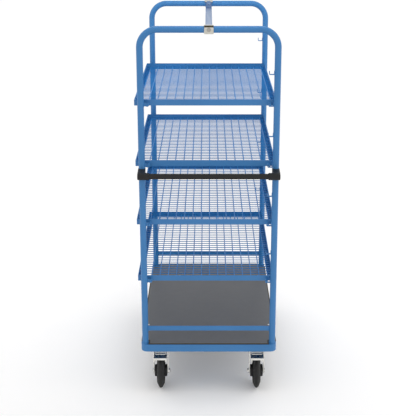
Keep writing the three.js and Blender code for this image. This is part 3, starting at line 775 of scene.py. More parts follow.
def carriers(end):
    shapes, seams = [], []
    for shelf in SHELVES:
        bottom = shelf_bottom(shelf)
        shapes += [hook(end, bottom), hook(end, bottom + tilt_rise), bracket(end, bottom)]
        left = arch_centre_x - post_inner_half
        for face in (-1, 1):
            y = post_y[end] + face * bracket_thickness / 2
            seams.append([(left, y, bottom), (left, y, bottom + bracket_height)])
    shapes.append(grown(weld_tree, lines_mesh(seams), frame_paint, **WELD))
    piece = assemble(end + "_hooks_and_brackets", shapes, frame_paint)
    return add_to(piece, end + "_end_frame")


for end in ENDS:
    carriers(end)

# %% [markdown]
# ## Cross bars
# A flat bar is welded between the posts just above the deck at each end, to keep the load aboard.

# %% Cross bars with their end welds
bar_edge = 1 * MM


def cross_bar(end):
    node = end + "_cross_bar"
    low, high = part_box(node)
    outline = rectangle((low.x, low.z), (high.x, high.z))
    bar = plate([outline], high.y - low.y, middle_of(node).y, "XZ", bar_edge)
    corners = [(x, y) for x in (low.x, high.x) for y in (low.y, high.y)]
    seams = [[(x, y, low.z), (x, y, high.z)] for x, y in corners]
    welds = grown(weld_tree, lines_mesh(seams), frame_paint, **WELD)
    return seat(assemble(end + "_bar", [bar, welds], frame_paint), [node])


for end in ENDS:
    cross_bar(end)

# %% [markdown]
# ## The deck
# The frame under the board is angle steel bent round four corners, with the flat leg on top and the
# other leg outside. A channel runs across at each end for the castors. The angle is one closed
# section run round a rounded rectangle, with its own corners eased the way rolled steel is.

# %% Deck frame, with its two channels
deck_low, deck_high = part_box("deck_frame")
deck_middle = (deck_low + deck_high) / 2
deck_half = ((deck_high.x - deck_low.x) / 2, (deck_high.y - deck_low.y) / 2)
rail_height = deck_high.z - deck_low.z
rail_flange = 35 * MM
rail_wall = 3 * MM
deck_corner = 30 * MM
rail_eased = 0.9 * MM
channel_width = 110 * MM
channel_bend = 4 * MM
channel_y = {
    "near": middle_of("near_left_castor_plate").y,
    "far": middle_of("far_left_axle").y,
}


def angle_section(flange, height, wall, eased, top_flange):
    """The section of an angle: its upright leg is outside, its flat leg at the top or the foot."""
    flat = height - wall if top_flange else wall
    if top_flange:
        points = [(0, 0), (0, height), (flange, height), (flange, flat), (wall, flat), (wall, 0)]
        radii = [eased, 2.2 * eased, eased, eased, 2 * eased, eased]
    else:
        points = [(0, 0), (0, height), (wall, height), (wall, flat), (flange, flat), (flange, 0)]
        radii = [1.5 * eased, eased, eased, 1.5 * eased, eased, eased]
    return filleted(points, radii, steps=3)


def channel(end):
    """A trough across the deck frame, open at the top, that the castor plates are screwed to."""
    y = channel_y[end]
    low, high = y - channel_width / 2 + rail_wall / 2, y + channel_width / 2 - rail_wall / 2
    floor, top = deck_low.z + rail_wall / 2, deck_high.z - rail_wall
    line = [(low, top), (low, floor), (high, floor), (high, top)]
    reach = 2 * (deck_half[0] - rail_wall)
    return bent_strip(line, channel_bend, rail_wall, reach, deck_middle.x, "YZ")


section = angle_section(rail_flange, rail_height, rail_wall, rail_eased, top_flange=True)
rail_foot = (deck_middle.x, deck_middle.y, deck_low.z)
rails = mitred(deck_half, deck_corner, section, rail_foot, steps=10)
deck_frame = assemble("deck_rails", [rails, channel("near"), channel("far")], frame_paint)
seat(deck_frame, ["deck_frame"])

# %% [markdown]
# The board lies on the frame and is notched at its corners round the posts. It is made as it is in
# life: a wooden core with its sealed edge, and a thin film on each face that stops a little short
# of the edge, most along the sides, so that a dark line runs round the board. Core and film are two
# materials of one piece, and each face takes its own by the height that it lies at.

# %% Deck board
board_low, board_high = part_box("deck_board")
board_middle = (board_low + board_high) / 2
notch_clearance = 1.5 * MM
film_thickness = 0.25 * MM
film_side_inset = 5.5 * MM
film_end_inset = 2.6 * MM
film_edge = 0.1 * MM
core_edge = 1 * MM


def board_outline(inset_x, inset_y):
    half_x = (board_high.x - board_low.x) / 2 - inset_x
    half_y = (board_high.y - board_low.y) / 2 - inset_y
    notch_x = post_inner_half - notch_clearance - inset_x
    notch_y = post_y["far"] - board_middle.y - tube_radius - notch_clearance - inset_y
    points = []
    for sign_x, sign_y in [(1, 1), (-1, 1), (-1, -1), (1, -1)]:
        corner = [
            (sign_x * half_x, sign_y * notch_y),
            (sign_x * notch_x, sign_y * notch_y),
            (sign_x * notch_x, sign_y * half_y),
        ]
        points += corner if sign_x == sign_y else corner[::-1]
    return [(x + board_middle.x, y + board_middle.y) for x, y in points]


core_low, core_high = board_low.z + film_thickness, board_high.z - film_thickness
core = plate([board_outline(0, 0)], core_high - core_low, board_middle.z, "XY", core_edge)
films = []
for face_z in (board_low.z + film_thickness / 2, board_high.z - film_thickness / 2):
    outline = board_outline(film_side_inset, film_end_inset)
    films.append(plate([outline], film_thickness, face_z, "XY", film_edge))
board = assemble("deck_sheet", [core, *films], film)
board.data.materials.append(cut_edge)
core_faces = 0
for face in board.data.polygons:
    if core_low - TINY <= face.center.z <= core_high + TINY:
        face.material_index = 1
        core_faces += 1
seat(board, ["deck_board"])
print("core faces:", core_faces)

# %% [markdown]
# ## Screws
# A hexagon head is a six sided cylinder with a shallow six sided cone on top, which stands for its
# chamfer, on a round washer. Domed heads are flattened balls. The trees put one on every point of
# a mesh, so a set of screws is a list of places.

# %% Hexagon heads
def lifted(tree, geometry, *heights):
    """Moves a shape up by the sum of these heights."""
    total = heights[0]
    for height in heights[1:]:
        total = sum_of(tree, "ADD", total, height)
    up = step(tree, "ShaderNodeCombineXYZ", {"Z": total})
    return step(tree, "GeometryNodeTransform", {"Geometry": geometry, "Translation": up})


HEX_SHARES = {"disc": 0.15, "body": 0.7, "cap": 0.15}
CAP_TOP_SHARE = 0.84
hex_sizes = {"across": "size", "height": "size", "washer": "size", "turn": "place"}
hex_tree, given = start_tree("hexagon screws", **hex_sizes)
corner_radius = sum_of(hex_tree, "DIVIDE", given["across"], math.sqrt(3))
disc_height, body_height, cap_height = [
    sum_of(hex_tree, "MULTIPLY", given["height"], share) for share in HEX_SHARES.values()
]
disc = step(
    hex_tree,
    "GeometryNodeMeshCylinder",
    {"Vertices": 32, "Radius": given["washer"], "Depth": disc_height},
)
disc = lifted(hex_tree, disc, sum_of(hex_tree, "MULTIPLY", disc_height, 0.5))
prism = step(
    hex_tree,
    "GeometryNodeMeshCylinder",
    {"Vertices": 6, "Radius": corner_radius, "Depth": body_height},
)
prism = lifted(hex_tree, prism, disc_height, sum_of(hex_tree, "MULTIPLY", body_height, 0.5))
cap = step(
    hex_tree,
    "GeometryNodeMeshCone",
    {
        "Vertices": 6,
        "Radius Top": sum_of(hex_tree, "MULTIPLY", corner_radius, CAP_TOP_SHARE),
        "Radius Bottom": corner_radius,
        "Depth": cap_height,
    },
)
cap = lifted(hex_tree, cap, disc_height, body_height)
head = joined(hex_tree, disc, prism, cap)
screws = step(
    hex_tree,
    "GeometryNodeInstanceOnPoints",
    {"Points": given["Geometry"], "Instance": head, "Rotation": given["turn"]},
)
end_tree(hex_tree, screws, given["finish"])

# %% Domed heads
dome_tree, given = start_tree("domed screws", radius="size", height="size")
ball = step(
    dome_tree,
    "GeometryNodeMeshUVSphere",
    {"Segments": 24, "Rings": 12, "Radius": given["radius"]},
)
flatness = sum_of(dome_tree, "DIVIDE", given["height"], given["radius"])
squat = step(dome_tree, "ShaderNodeCombineXYZ", {"X": 1.0, "Y": 1.0, "Z": flatness})
dome = step(dome_tree, "GeometryNodeTransform", {"Geometry": ball, "Scale": squat})
domes = {"Points": given["Geometry"], "Instance": dome}
domes = step(dome_tree, "GeometryNodeInstanceOnPoints", domes)
end_tree(dome_tree, domes, given["finish"])


def points_mesh(points):
    mesh = bpy.data.meshes.new("points")
    mesh.from_pydata([tuple(point) for point in points], [], [])
    return mesh


# %% Deck bolts
bolt_nodes = [f"deck_bolt_{number}" for number in range(1, 5)]
bolt_places = [(*middle_of(node).xy, board_high.z) for node in bolt_nodes]
head_radius, head_height = 5 * MM, 2.6 * MM
heads = points_mesh(bolt_places)
heads = grown(dome_tree, heads, zinc, radius=head_radius, height=head_height)
shank_radius = 2.5 * MM
shank_foot, shank_top = 222 * MM, 240 * MM
shanks = [rod(shank_radius, shank_foot, shank_top, (x, y, 0), flats=16) for x, y, z in bolt_places]
seat(assemble("deck_bolt_heads", [heads, *shanks], zinc), bolt_nodes)

# %% [markdown]
# ## Shelf rims
# The rim of a shelf is angle steel, mitred and welded at its corners, with the upright leg outside
# and the flat leg at the bottom for the wires to lie on. A round pin is welded to it at each
# corner. One function makes all four, each in its own place and on its own body.

# %% Shelf rims with their pins
rim_wall = 2.5 * MM
rim_flange = 20 * MM
rim_eased = 0.5 * MM
rim_corner = 2.5 * MM
pin_chamfer = 0.8 * MM
collar_lift = 0.6 * MM
collar_out = 0.4 * MM


def shelf_rim(shelf):
    node = f"shelf_frame_{shelf}"
    low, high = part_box(node)
    net_low, net_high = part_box(f"shelf_mesh_{shelf}")
    half = ((high.x - low.x) / 2, (net_high.y - net_low.y) / 2 + rim_wall + fit_gap)
    middle = Vector(((low.x + high.x) / 2, (net_low.y + net_high.y) / 2, low.z))
    angle = angle_section(rim_flange, high.z - low.z, rim_wall, rim_eased, top_flange=False)
    shapes = [mitred(half, rim_corner, angle, middle, steps=3)]
    collars = []
    for x in (arch_centre_x - pin_half_spread, arch_centre_x + pin_half_spread):
        for end, rim_y in ((low.y, middle.y - half[1]), (high.y, middle.y + half[1])):
            outward = 1 if end > rim_y else -1
            root = rim_y - outward * rim_wall / 2
            tip = end - outward * pin_chamfer
            profile = [(0, root), (pin_radius, root), (pin_radius, tip)]
            profile += [(pin_radius - pin_chamfer, end), (0, end)]
            shapes.append(turned(profile, (x, 0, low.z + pin_height), "Y", flats=20))
            circle = ring(pin_radius + collar_lift, (x, low.z + pin_height), flats=16)
            collars.append([(px, rim_y + outward * collar_out, pz) for px, pz in circle])
    shapes.append(grown(weld_tree, lines_mesh(collars, closed=True), frame_paint, **WELD))
    return seat(assemble(f"shelf_{shelf}_rim", shapes, frame_paint), [node])


for shelf in SHELVES:
    shelf_rim(shelf)

# %% [markdown]
# ## Shelf wires
# The panel is welded mesh: thick wires run the length of the shelf about 37 mm apart, and thinner
# ones cross under them every 28 mm. Its rule is a width, a length, two counts and two thicknesses,
# which makes it a piece for Geometry Nodes: two rows of points, a wire on each point.

# %% The welded mesh tree
net_tree, given = start_tree(
    "welded mesh",
    width="size",
    length="size",
    long_radius="size",
    cross_radius="size",
    bite="size",
    margin="size",
    long_count="count",
    cross_count="count",
    centre="place",
)


def wire_row(run, spread, radius, count, along_x):
    """Straight wires of length run, evenly set across spread."""
    bar = {"Vertices": 10, "Radius": radius, "Depth": run}
    wire = step(net_tree, "GeometryNodeMeshCylinder", bar)
    lie_down = (0, QUARTER, 0) if along_x else (QUARTER, 0, 0)
    wire = step(net_tree, "GeometryNodeTransform", {"Geometry": wire, "Rotation": lie_down})
    first = sum_of(net_tree, "MULTIPLY", spread, -0.5)
    pitch = sum_of(net_tree, "DIVIDE", spread, sum_of(net_tree, "SUBTRACT", count, 1))
    axis = "Y" if along_x else "X"
    start = step(net_tree, "ShaderNodeCombineXYZ", {axis: first})
    offset = step(net_tree, "ShaderNodeCombineXYZ", {axis: pitch})
    row = step(
        net_tree,
        "GeometryNodeMeshLine",
        {"Count": count, "Start Location": start, "Offset": offset},
        mode="OFFSET",
    )
    return step(net_tree, "GeometryNodeInstanceOnPoints", {"Points": row, "Instance": wire})


inset = sum_of(net_tree, "MULTIPLY", given["margin"], 2)
long_spread = sum_of(net_tree, "SUBTRACT", given["width"], inset)
cross_spread = sum_of(net_tree, "SUBTRACT", given["length"], inset)
long_sizes = (given["length"], long_spread, given["long_radius"], given["long_count"])
long_wires = wire_row(*long_sizes, along_x=False)
cross_sizes = (given["width"], cross_spread, given["cross_radius"], given["cross_count"])
cross_wires = wire_row(*cross_sizes, along_x=True)
cross_wires = lifted(net_tree, cross_wires, given["cross_radius"])
long_wires = lifted(
    net_tree,
    long_wires,
    sum_of(net_tree, "SUBTRACT", given["long_radius"], given["bite"]),
    sum_of(net_tree, "MULTIPLY", given["cross_radius"], 2),
)
net = joined(net_tree, long_wires, cross_wires)
net = step(net_tree, "GeometryNodeTransform", {"Geometry": net, "Translation": given["centre"]})
end_tree(net_tree, net, given["finish"])

# %% Wires of the four shelves
long_wire_radius = 2.3 * MM
cross_wire_radius = 1.9 * MM
long_wire_count = 16
cross_wire_count = 32
wire_margin = 19 * MM
wire_bite = 0.5 * MM


def shelf_wires(shelf):
    node = f"shelf_mesh_{shelf}"
    low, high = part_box(node)
    centre = ((low.x + high.x) / 2, (low.y + high.y) / 2, shelf_bottom(shelf) + rim_wall)
    wires = grown(
        net_tree,
        points_mesh([(0, 0, 0)]),
        wire_paint,
        width=high.x - low.x,
        length=high.y - low.y,
        long_radius=long_wire_radius,
        cross_radius=cross_wire_radius,
        bite=wire_bite,
        margin=wire_margin,
        long_count=long_wire_count,
        cross_count=cross_wire_count,
        centre=centre,
    )
    return seat(assemble(f"shelf_{shelf}_wires", [wires], wire_paint), [node])


for shelf in SHELVES:
    shelf_wires(shelf)

# %% [markdown]
# ## The strap across the top
# A flat strip ties the tops of the arches together. It runs just under the tubes and its ends are
# bent up into round topped tabs, each held by a bolt through a saddle clamp hooked over its tube.

# %% Strap, clamps and bolts
strap_low, strap_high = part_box("top_strap")
strap_x = middle_of("top_strap").x
strap_thickness = 3 * MM
strap_half_width = (strap_high.x - strap_low.x) / 2
strap_bolt_z = arch_high.z - tube_radius
strap_bend = 4 * MM
saddle_wall = 3 * MM
saddle_lip = 7 * MM
saddle_bends = [0, 6 * MM, 5 * MM, 0]
saddle_edge = 0.6 * MM
CLAMP_HEAD = {"across": 13 * MM, "washer": 9 * MM}
clamp_bolt_radius = 4 * MM
shank_inset = 1 * MM
bend_from = math.sin(math.radians(8))


def strap():
    first, last = strap_low.y + strap_thickness / 2, strap_high.y - strap_thickness / 2
    floor = strap_low.z + strap_thickness / 2
    line = [(first, strap_bolt_z), (first, floor), (last, floor), (last, strap_bolt_z)]
    width = 2 * strap_half_width
    shapes = [bent_strip(line, strap_bend, strap_thickness, width, strap_x, "YZ")]
    crown = arc((strap_x, strap_bolt_z), strap_half_width, 0, math.pi, steps=16)
    shapes += [plate([crown], strap_thickness, y, "XZ") for y in (first, last)]
    return seat(assemble("tie_strap", shapes, strap_zinc), ["top_strap"])


def saddle(end):
    """A strip hooked over the tube: long leg outside, short lip inside, and a dark reflection
    painted on its outer bend.
    """
    node = end + "_strap_clamp"
    low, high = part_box(node)
    outer, inner = low.y + saddle_wall / 2, high.y - saddle_wall / 2
    if ENDS[end] > 0:
        outer, inner = inner, outer
    top = high.z - saddle_wall / 2
    line = [(outer, low.z), (outer, top), (inner, top), (inner, top - saddle_lip)]
    place = (high.x - low.x, (low.x + high.x) / 2, "YZ", saddle_edge)
    shape = bent_strip(line, saddle_bends, saddle_wall, *place)
    piece = assemble(end + "_saddle", [shape], clamp_zinc)
    # The faces of the outer top bend take the second material, a painted dark reflection.
    piece.data.materials.append(painted_dark_reflection)
    for face in piece.data.polygons:
        outward = face.normal.y * ENDS[end]
        if outward > bend_from and face.normal.z > bend_from:
            face.material_index = 1
    return seat(piece, [node])


def strap_bolt(end):
    """A hexagon bolt from outside, closed by a cap nut on the inner face of the strap."""
    node = end + "_strap_bolt"
    low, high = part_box(node)
    clamp_low, clamp_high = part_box(end + "_strap_clamp")
    outside = ENDS[end]
    if outside < 0:
        head_from, head_to, nut_from = clamp_low.y, low.y, strap_low.y + strap_thickness
    else:
        head_from, head_to, nut_from = clamp_high.y, high.y, strap_high.y - strap_thickness
    bolt_line = (strap_x, 0, strap_bolt_z)
    place = points_mesh([(strap_x, head_from, strap_bolt_z)])
    sizes = {**CLAMP_HEAD, "height": abs(head_to - head_from), "turn": (-outside * QUARTER, 0, 0)}
    head = grown(hex_tree, place, bolt_zinc, **sizes)
    cap = in_mm((0, 0), (6.5, 0), (6.5, 1.4), (5.6, 2.4), (3.2, 3.1), (0, 3.3))
    cap = [(radius, nut_from - outside * along) for radius, along in cap]
    nut = turned(cap, bolt_line, "Y", flats=32)
    add_to(assemble(end + "_cap_nut", [nut], strap_zinc), node)
    ends = (low.y + shank_inset, high.y - shank_inset)
    shank = rod(clamp_bolt_radius, *ends, bolt_line, "Y", flats=20)
    return seat(assemble(end + "_clamp_bolt", [head, shank], bolt_zinc), [node])


strap()
for end in ENDS:
    saddle(end)
    strap_bolt(end)

# %% [markdown]
# ## The handle
# A tube with a black sleeve is held in front of the near posts by two mouldings. Each moulding is
# a collar on the post, an arm and an elbow round the end of the tube. Real mouldings have soft
# inner corners, so the three shapes are overlapped, remeshed into one skin and smoothed, and then
# bored for the post.

# %% Handle sleeve
bar_low, bar_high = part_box("handle_bar")
bar_middle = middle_of("handle_bar")
bar_radius = (bar_high.z - bar_low.z) / 2
sleeve_lip = 1 * MM


def handle_sleeve():
    profile = [
        (0, bar_low.x),
        (bar_radius - sleeve_lip, bar_low.x),
        (bar_radius, bar_low.x + sleeve_lip),
        (bar_radius, bar_high.x - sleeve_lip),
        (bar_radius - sleeve_lip, bar_high.x),
        (0, bar_high.x),
    ]
    shape = turned(profile, (0, bar_middle.y, bar_middle.z), "X")
    return seat(assemble("push_handle", [shape], sleeve_black), ["handle_bar"])


handle_sleeve()

# %% Handle mouldings
moulding_rise = 3 * MM
collar_radius = tube_radius + 1.9 * MM
elbow_radius = 15.5 * MM
arm_edge = 2.5 * MM
skin_voxel = 1.1 * MM
skin_rounds = 5
bore_overrun = 5 * MM


def softened(piece, voxel, rounds):
    """Melts overlapping shells into one skin and smooths it."""
    skin = piece.modifiers.new("Skin", "REMESH")
    skin.mode = "VOXEL"
    skin.voxel_size = voxel
    smooth = piece.modifiers.new("Smooth", "SMOOTH")
    smooth.factor = 0.5
    smooth.iterations = rounds
    depsgraph = bpy.context.evaluated_depsgraph_get()
    made = bpy.data.meshes.new_from_object(piece.evaluated_get(depsgraph))
    bpy.data.objects.remove(piece)
    return made


def bored(mesh, hole):
    """Cuts one closed mesh out of another."""
    body = bpy.data.objects.new("body", mesh)
    tool = bpy.data.objects.new("tool", hole)
    for item in (body, tool):
        bpy.context.scene.collection.objects.link(item)
    cut = body.modifiers.new("Bore", "BOOLEAN")
    cut.operation = "DIFFERENCE"
    cut.solver = "EXACT"
    cut.object = tool
    depsgraph = bpy.context.evaluated_depsgraph_get()
    made = bpy.data.meshes.new_from_object(body.evaluated_get(depsgraph))
    for item in (body, tool):
        bpy.data.objects.remove(item)
    return made


def handle_moulding(side):
    """Collar, arm and elbow, melted into one skin and bored for the post."""
    node = side + "_handle_bracket"
    low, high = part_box(node)
    high.z += moulding_rise
    sign = SIDES[side]
    post = (arch_centre_x + sign * post_half_spread, post_y["near"], 0)
    inner = low.x if sign > 0 else high.x
    elbow_ends = sorted((inner, post[0]))
    nose = arc((bar_middle.y, bar_middle.z), elbow_radius, -QUARTER, -3 * QUARTER, steps=8)
    flat_from = post_y["near"] - collar_radius
    foot = [(post_y["near"], low.z), (flat_from, low.z)]
    head = [(flat_from, high.z), (post_y["near"], high.z)]
    shapes = [
        rod(collar_radius, low.z, high.z, post),
        plate([[*foot, *nose, *head]], 2 * collar_radius, post[0], "YZ", arm_edge),
        rod(elbow_radius, *elbow_ends, (0, bar_middle.y, bar_middle.z), "X"),
    ]
    rough = assemble(node + "_rough", shapes, bracket_black)
    skin = softened(rough, skin_voxel, skin_rounds)
    bore = rod(tube_radius + fit_gap, low.z - bore_overrun, high.z + bore_overrun, post)
    piece = assemble(side + "_moulding", [bored(skin, bore)], bracket_black)
    return seat(piece, [node])


for side in SIDES:
    handle_moulding(side)

# %% [markdown]
# ## Castors
# A castor is a stack: a plate screwed under the deck, a pair of ball races, a fork pressed from
# sheet, and a wheel on a bolt. The shapes are drawn once round the castor's own upright axis, with
# the floor at zero, and then moved to each castor.

# %% Sizes that all castors share
castor_centre = {}
for end in ENDS:
    for side in SIDES:
        name = f"{end}_{side}"
        wheel = middle_of(name + "_axle")
        castor_centre[name] = Vector((wheel.x, channel_y[end], 0))
wheel_radius = 80 * MM
axle_height = wheel_radius
trail = 50 * MM
plate_top = deck_low.z - fit_gap
plate_thickness = 3.5 * MM
plate_bottom = plate_top - plate_thickness
plate_half = (50 * MM, 42.5 * MM)
screw_inset = 10 * MM
cup_radius = 31 * MM
cup_bottom = plate_bottom - 16 * MM
fork_half_width = 35 * MM
fork_wall = 4 * MM
crown_top = cup_bottom - fit_gap
crown_reach = 32 * MM
boss_radius = 14 * MM
axle_radius = 6 * MM
for name, place in castor_centre.items():
    print(name, "castor at", [round(x, 3) for x in place])

# %% Plates with slots, screws and the upper race
plate_corner = 8 * MM
plate_edge = 0.6 * MM
slot_radius = 4.6 * MM
slot_reach = 2.5 * MM
screw_radius = 4 * MM
screw_rise = 8 * MM
rivet_height = 9.3 * MM
SCREW_HEAD = {"across": 13 * MM, "height": 5.5 * MM, "washer": 8.2 * MM}


def slot_loop(middle):
    """A slot that is longer across than along."""
    right = arc((middle[0] + slot_reach, middle[1]), slot_radius, -QUARTER, QUARTER, steps=8)
    left = arc((middle[0] - slot_reach, middle[1]), slot_radius, QUARTER, 3 * QUARTER, steps=8)
    return right + left


def screwed_plate():
    """The plate with its four slots, and a hexagon screw through each."""
    far_x, far_y = plate_half[0] - screw_inset, plate_half[1] - screw_inset
    places = [(x, y) for x in (-far_x, far_x) for y in (-far_y, far_y)]
    outline = rectangle((-plate_half[0], -plate_half[1]), plate_half, plate_corner)
    loops = [outline, *[slot_loop(place) for place in places]]
    shapes = [plate(loops, plate_thickness, (plate_top + plate_bottom) / 2, "XY", plate_edge)]
    heads = points_mesh([(x, y, plate_bottom) for x, y in places])
    shapes.append(grown(hex_tree, heads, zinc, turn=(math.pi, 0, 0), **SCREW_HEAD))
    for x, y in places:
        shapes.append(rod(screw_radius, plate_bottom, plate_top + screw_rise, (x, y, 0), flats=16))
    return shapes


def upper_race():
    """The dished cup under the plate, with the rolled lip that holds the balls."""
    shoulder = in_mm((-4, 1), (-3, -2), (-1, -5), (0, -7.5), start=(cup_radius, plate_bottom))
    lip = in_mm((0, 4), (-1, 1.5), (-4, 0.5), (-6, 0), start=(cup_radius, cup_bottom))
    return turned([(0, shoulder[0][1]), *shoulder, *lip, (0, cup_bottom)], flats=56)


def kingpin():
    """The pin through the crown of the fork, closed by a domed rivet head."""
    rivet = (0, crown_top - rivet_height)
    head = in_mm((0, 0), (6, 0.3), (9, 1.6), (10, 3.4), (10, 5), (6, 5), start=rivet)
    return turned([*head, (head[-1][0], crown_top), (0, crown_top)], flats=32)


for side in SIDES:
    name = "near_" + side
    shapes = [*screwed_plate(), upper_race(), kingpin()]
    shapes = [moved(shape, castor_centre[name]) for shape in shapes]
    seat(assemble(name + "_plate", shapes, zinc), [name + "_castor_plate"])

# %% [markdown]
# ## Forks
# The swivel fork is pressed from one sheet: its crown is flat, its cheeks are bent down and sweep
# back towards the handle, because the wheel trails behind its pin when the trolley is pushed. The
# fixed fork has straight cheeks under its own plate.

# %% Forks, swivel and fixed
crown_inset = 0.5 * MM
crown_bite = 0.5 * MM
crown_bend = 8 * MM


def crown_strip(top, drop, thickness):
    """The bent sheet that joins the cheeks over the wheel, a little inside their outer faces."""
    x, z = fork_half_width - thickness / 2 - crown_inset, top - thickness / 2
    line = [(-x, z - drop), (-x, z), (x, z), (x, z - drop)]
    return bent_strip(line, crown_bend, thickness, 2 * crown_reach, 0, "XZ")


def cheeks(corners, radii, holes):
    """Both cheeks of a fork from one outline in Y and Z."""
    outline = filleted(corners, radii, steps=6)
    loops = [outline, *[ring(radius, middle) for radius, middle in holes]]
    x = fork_half_width - fork_wall / 2
    return [plate(loops, fork_wall, side * x, "YZ", small_sheet_edge) for side in (-1, 1)]


def boss_loop(y):
    """The round foot of a cheek, from its front to its back."""
    return arc((y, axle_height), boss_radius, 2 * QUARTER, 4 * QUARTER, steps=10)


pedal_pin = (-38 * MM, 178 * MM)
pedal_pin_radius = 3 * MM
pin_play = 0.4 * MM


def swivel_fork():
    """Cheeks that carry the brake pin in a round ear and sweep back to the axle."""
    ear = 9 * MM
    front = pedal_pin[0] - ear
    foot = boss_loop(-trail)
    corners = [
        (crown_reach, crown_top - 3 * MM),
        (pedal_pin[0] + ear, crown_top - 1 * MM),
        (pedal_pin[0] + ear, pedal_pin[1] + ear),
        (front, pedal_pin[1] + ear),
        (front - 3 * MM, 150 * MM),
        (-trail - boss_radius - 1 * MM, 108 * MM),
        *foot,
        (-24 * MM, 118 * MM),
        (crown_reach, 156 * MM),
    ]
    radii = [6 * MM, 2 * MM, ear, ear, 30 * MM, 30 * MM, *[0] * len(foot), 24 * MM, 16 * MM]
    holes = [(axle_radius, (-trail, axle_height)), (pedal_pin_radius + pin_play, pedal_pin)]
    crown = crown_strip(crown_top, drop=22 * MM, thickness=fork_wall)
    return [crown, *cheeks(corners, radii, holes)]


def fixed_fork():
    """Straight cheeks under a plate of their own."""
    foot = boss_loop(0)
    corners = [
        (crown_reach, plate_bottom),
        (-crown_reach, plate_bottom),
        (-crown_reach, 170 * MM),
        (-boss_radius - 3 * MM, 110 * MM),
        *foot,
        (boss_radius + 3 * MM, 110 * MM),
        (crown_reach, 170 * MM),
    ]
    radii = [2 * MM, 2 * MM, 24 * MM, 30 * MM, *[0] * len(foot), 30 * MM, 24 * MM]
    crown = crown_strip(plate_bottom + crown_bite, drop=14 * MM, thickness=3 * MM)
    holes = [(axle_radius, (0, axle_height))]
    return [*screwed_plate(), crown, *cheeks(corners, radii, holes)]


def dust_cup():
    """The lower race that turns with the fork, a dished ring on its crown."""
    foot, top = crown_top - 1 * MM, crown_top + 0.1 * MM
    return turned([(0, foot), (24 * MM, foot), (25 * MM, top), (0, top)])


for name, place in castor_centre.items():
    shapes = [*swivel_fork(), dust_cup()] if name.startswith("near") else fixed_fork()
    shapes = [moved(shape, place) for shape in shapes]
    seat(assemble(name + "_cheeks", shapes, zinc), [name + "_fork"])

# %% [markdown]
# ## Wheels
# The tyre is solid rubber with a high, narrow crown, moulded on a plastic centre. The centre has a
# rim, a thin web with ribs, and a thread guard at each side that keeps string out of the bearing.
# All of it is turned, and the ribs are set round the web by a small tree.

# %% Ribs of the wheel centre
rib_sizes = {"count": "count", "inner": "size", "outer": "size", "wall": "size", "width": "size"}
rib_tree, given = start_tree("wheel ribs", **rib_sizes, centre="place")
span = sum_of(rib_tree, "SUBTRACT", given["outer"], given["inner"])
rib_middle = sum_of(rib_tree, "ADD", given["outer"], given["inner"])
rib_middle = sum_of(rib_tree, "MULTIPLY", rib_middle, 0.5)
rib_box = {"X": given["width"], "Y": given["wall"], "Z": span}
rib_box = step(rib_tree, "ShaderNodeCombineXYZ", rib_box)
rib = step(rib_tree, "GeometryNodeMeshCube", {"Size": rib_box})
rib = lifted(rib_tree, rib, rib_middle)
rib_number = step(rib_tree, "GeometryNodeInputIndex")
share = sum_of(rib_tree, "DIVIDE", rib_number, given["count"])
angle = sum_of(rib_tree, "MULTIPLY", share, 4 * QUARTER)
spin = step(rib_tree, "ShaderNodeCombineXYZ", {"X": angle})
spots = {"Count": given["count"], "Offset": (0, 0, 0)}
spots = step(rib_tree, "GeometryNodeMeshLine", spots, mode="OFFSET")
ribs = {"Points": spots, "Instance": rib, "Rotation": spin}
ribs = step(rib_tree, "GeometryNodeInstanceOnPoints", ribs)
ribs = step(rib_tree, "GeometryNodeTransform", {"Geometry": ribs, "Translation": given["centre"]})
end_tree(rib_tree, ribs, given["finish"])

# %% Tyres, wheel centres and axles
tyre_half = 15.5 * MM
rim_half = 17 * MM
tread_inner = 59 * MM
crown_height = 20 * MM
guard_radius = 28 * MM
guard_half = 28.5 * MM
web_half = 5 * MM
rim_inner = tread_inner - 7 * MM
RIBS = {
    "count": 10,
    "inner": guard_radius - 1 * MM,
    "outer": rim_inner + 0.5 * MM,
    "wall": 2.4 * MM,
    "width": 30 * MM,
}
AXLE_HEAD = {"across": 18 * MM, "washer": 11.5 * MM}
nut_height = 7 * MM
flat_head_height = 3.5 * MM
head_gap = 0.1 * MM
thread_play = 0.1 * MM
shank_chamfer = 1 * MM
shank_rise = 3 * MM


def tyre(centre):
    """A pointed crown: its section is a parabola that runs down to the rim."""
    profile = [(tread_inner, -tyre_half)]
    for n in range(-12, 13):
        profile.append((wheel_radius - crown_height * (n / 12) ** 2, tyre_half * n / 12))
    profile.append((tread_inner, tyre_half))
    return turned(profile, centre, "X", flats=96)


def wheel_centre(centre):
    """Rim, web and thread guard turned in one, with the ribs round the web."""
    half = in_mm((-0.1, -1), (-1, 0), start=(tread_inner, rim_half))
    half += in_mm((1, 0), (0, -1), start=(rim_inner, rim_half))
    half += in_mm((-1, 2), (-4, 0), start=(rim_inner, web_half))
    half += in_mm((-1, 0), (0, 4), start=(guard_radius, web_half))
    guard = [(0, -2.5), (-0.8, -0.8), (-3, 0), (-8, 0), (-9, -1)]
    half += in_mm(*guard, start=(guard_radius, guard_half))
    half += in_mm((5, -1), (4, 0), (0.2, 0), start=(axle_radius, guard_half))
    ribs = grown(rib_tree, points_mesh([centre]), hub_black, centre=centre, **RIBS)
    return [turned(both_ways(half), centre, "X", flats=72), ribs]


def axle_bolt(centre, inner_side):
    """A bolt through the cheeks: a nut on the side of the trolley's middle, a flat head outside."""
    face = fork_half_width + head_gap
    shapes = []
    for side, height in ((inner_side, nut_height), (-inner_side, flat_head_height)):
        place = points_mesh([centre + Vector((side * face, 0, 0))])
        turn = (0, side * QUARTER, 0)
        shapes.append(grown(hex_tree, place, zinc, height=height, turn=turn, **AXLE_HEAD))
    reach = face + shank_rise
    thread = axle_radius - thread_play
    shank = [(0, -reach), (axle_radius - shank_chamfer, -reach), (thread, shank_chamfer - reach)]
    shank += [(thread, reach), (0, reach)]
    shapes.append(turned(shank, centre, "X", flats=24))
    return shapes


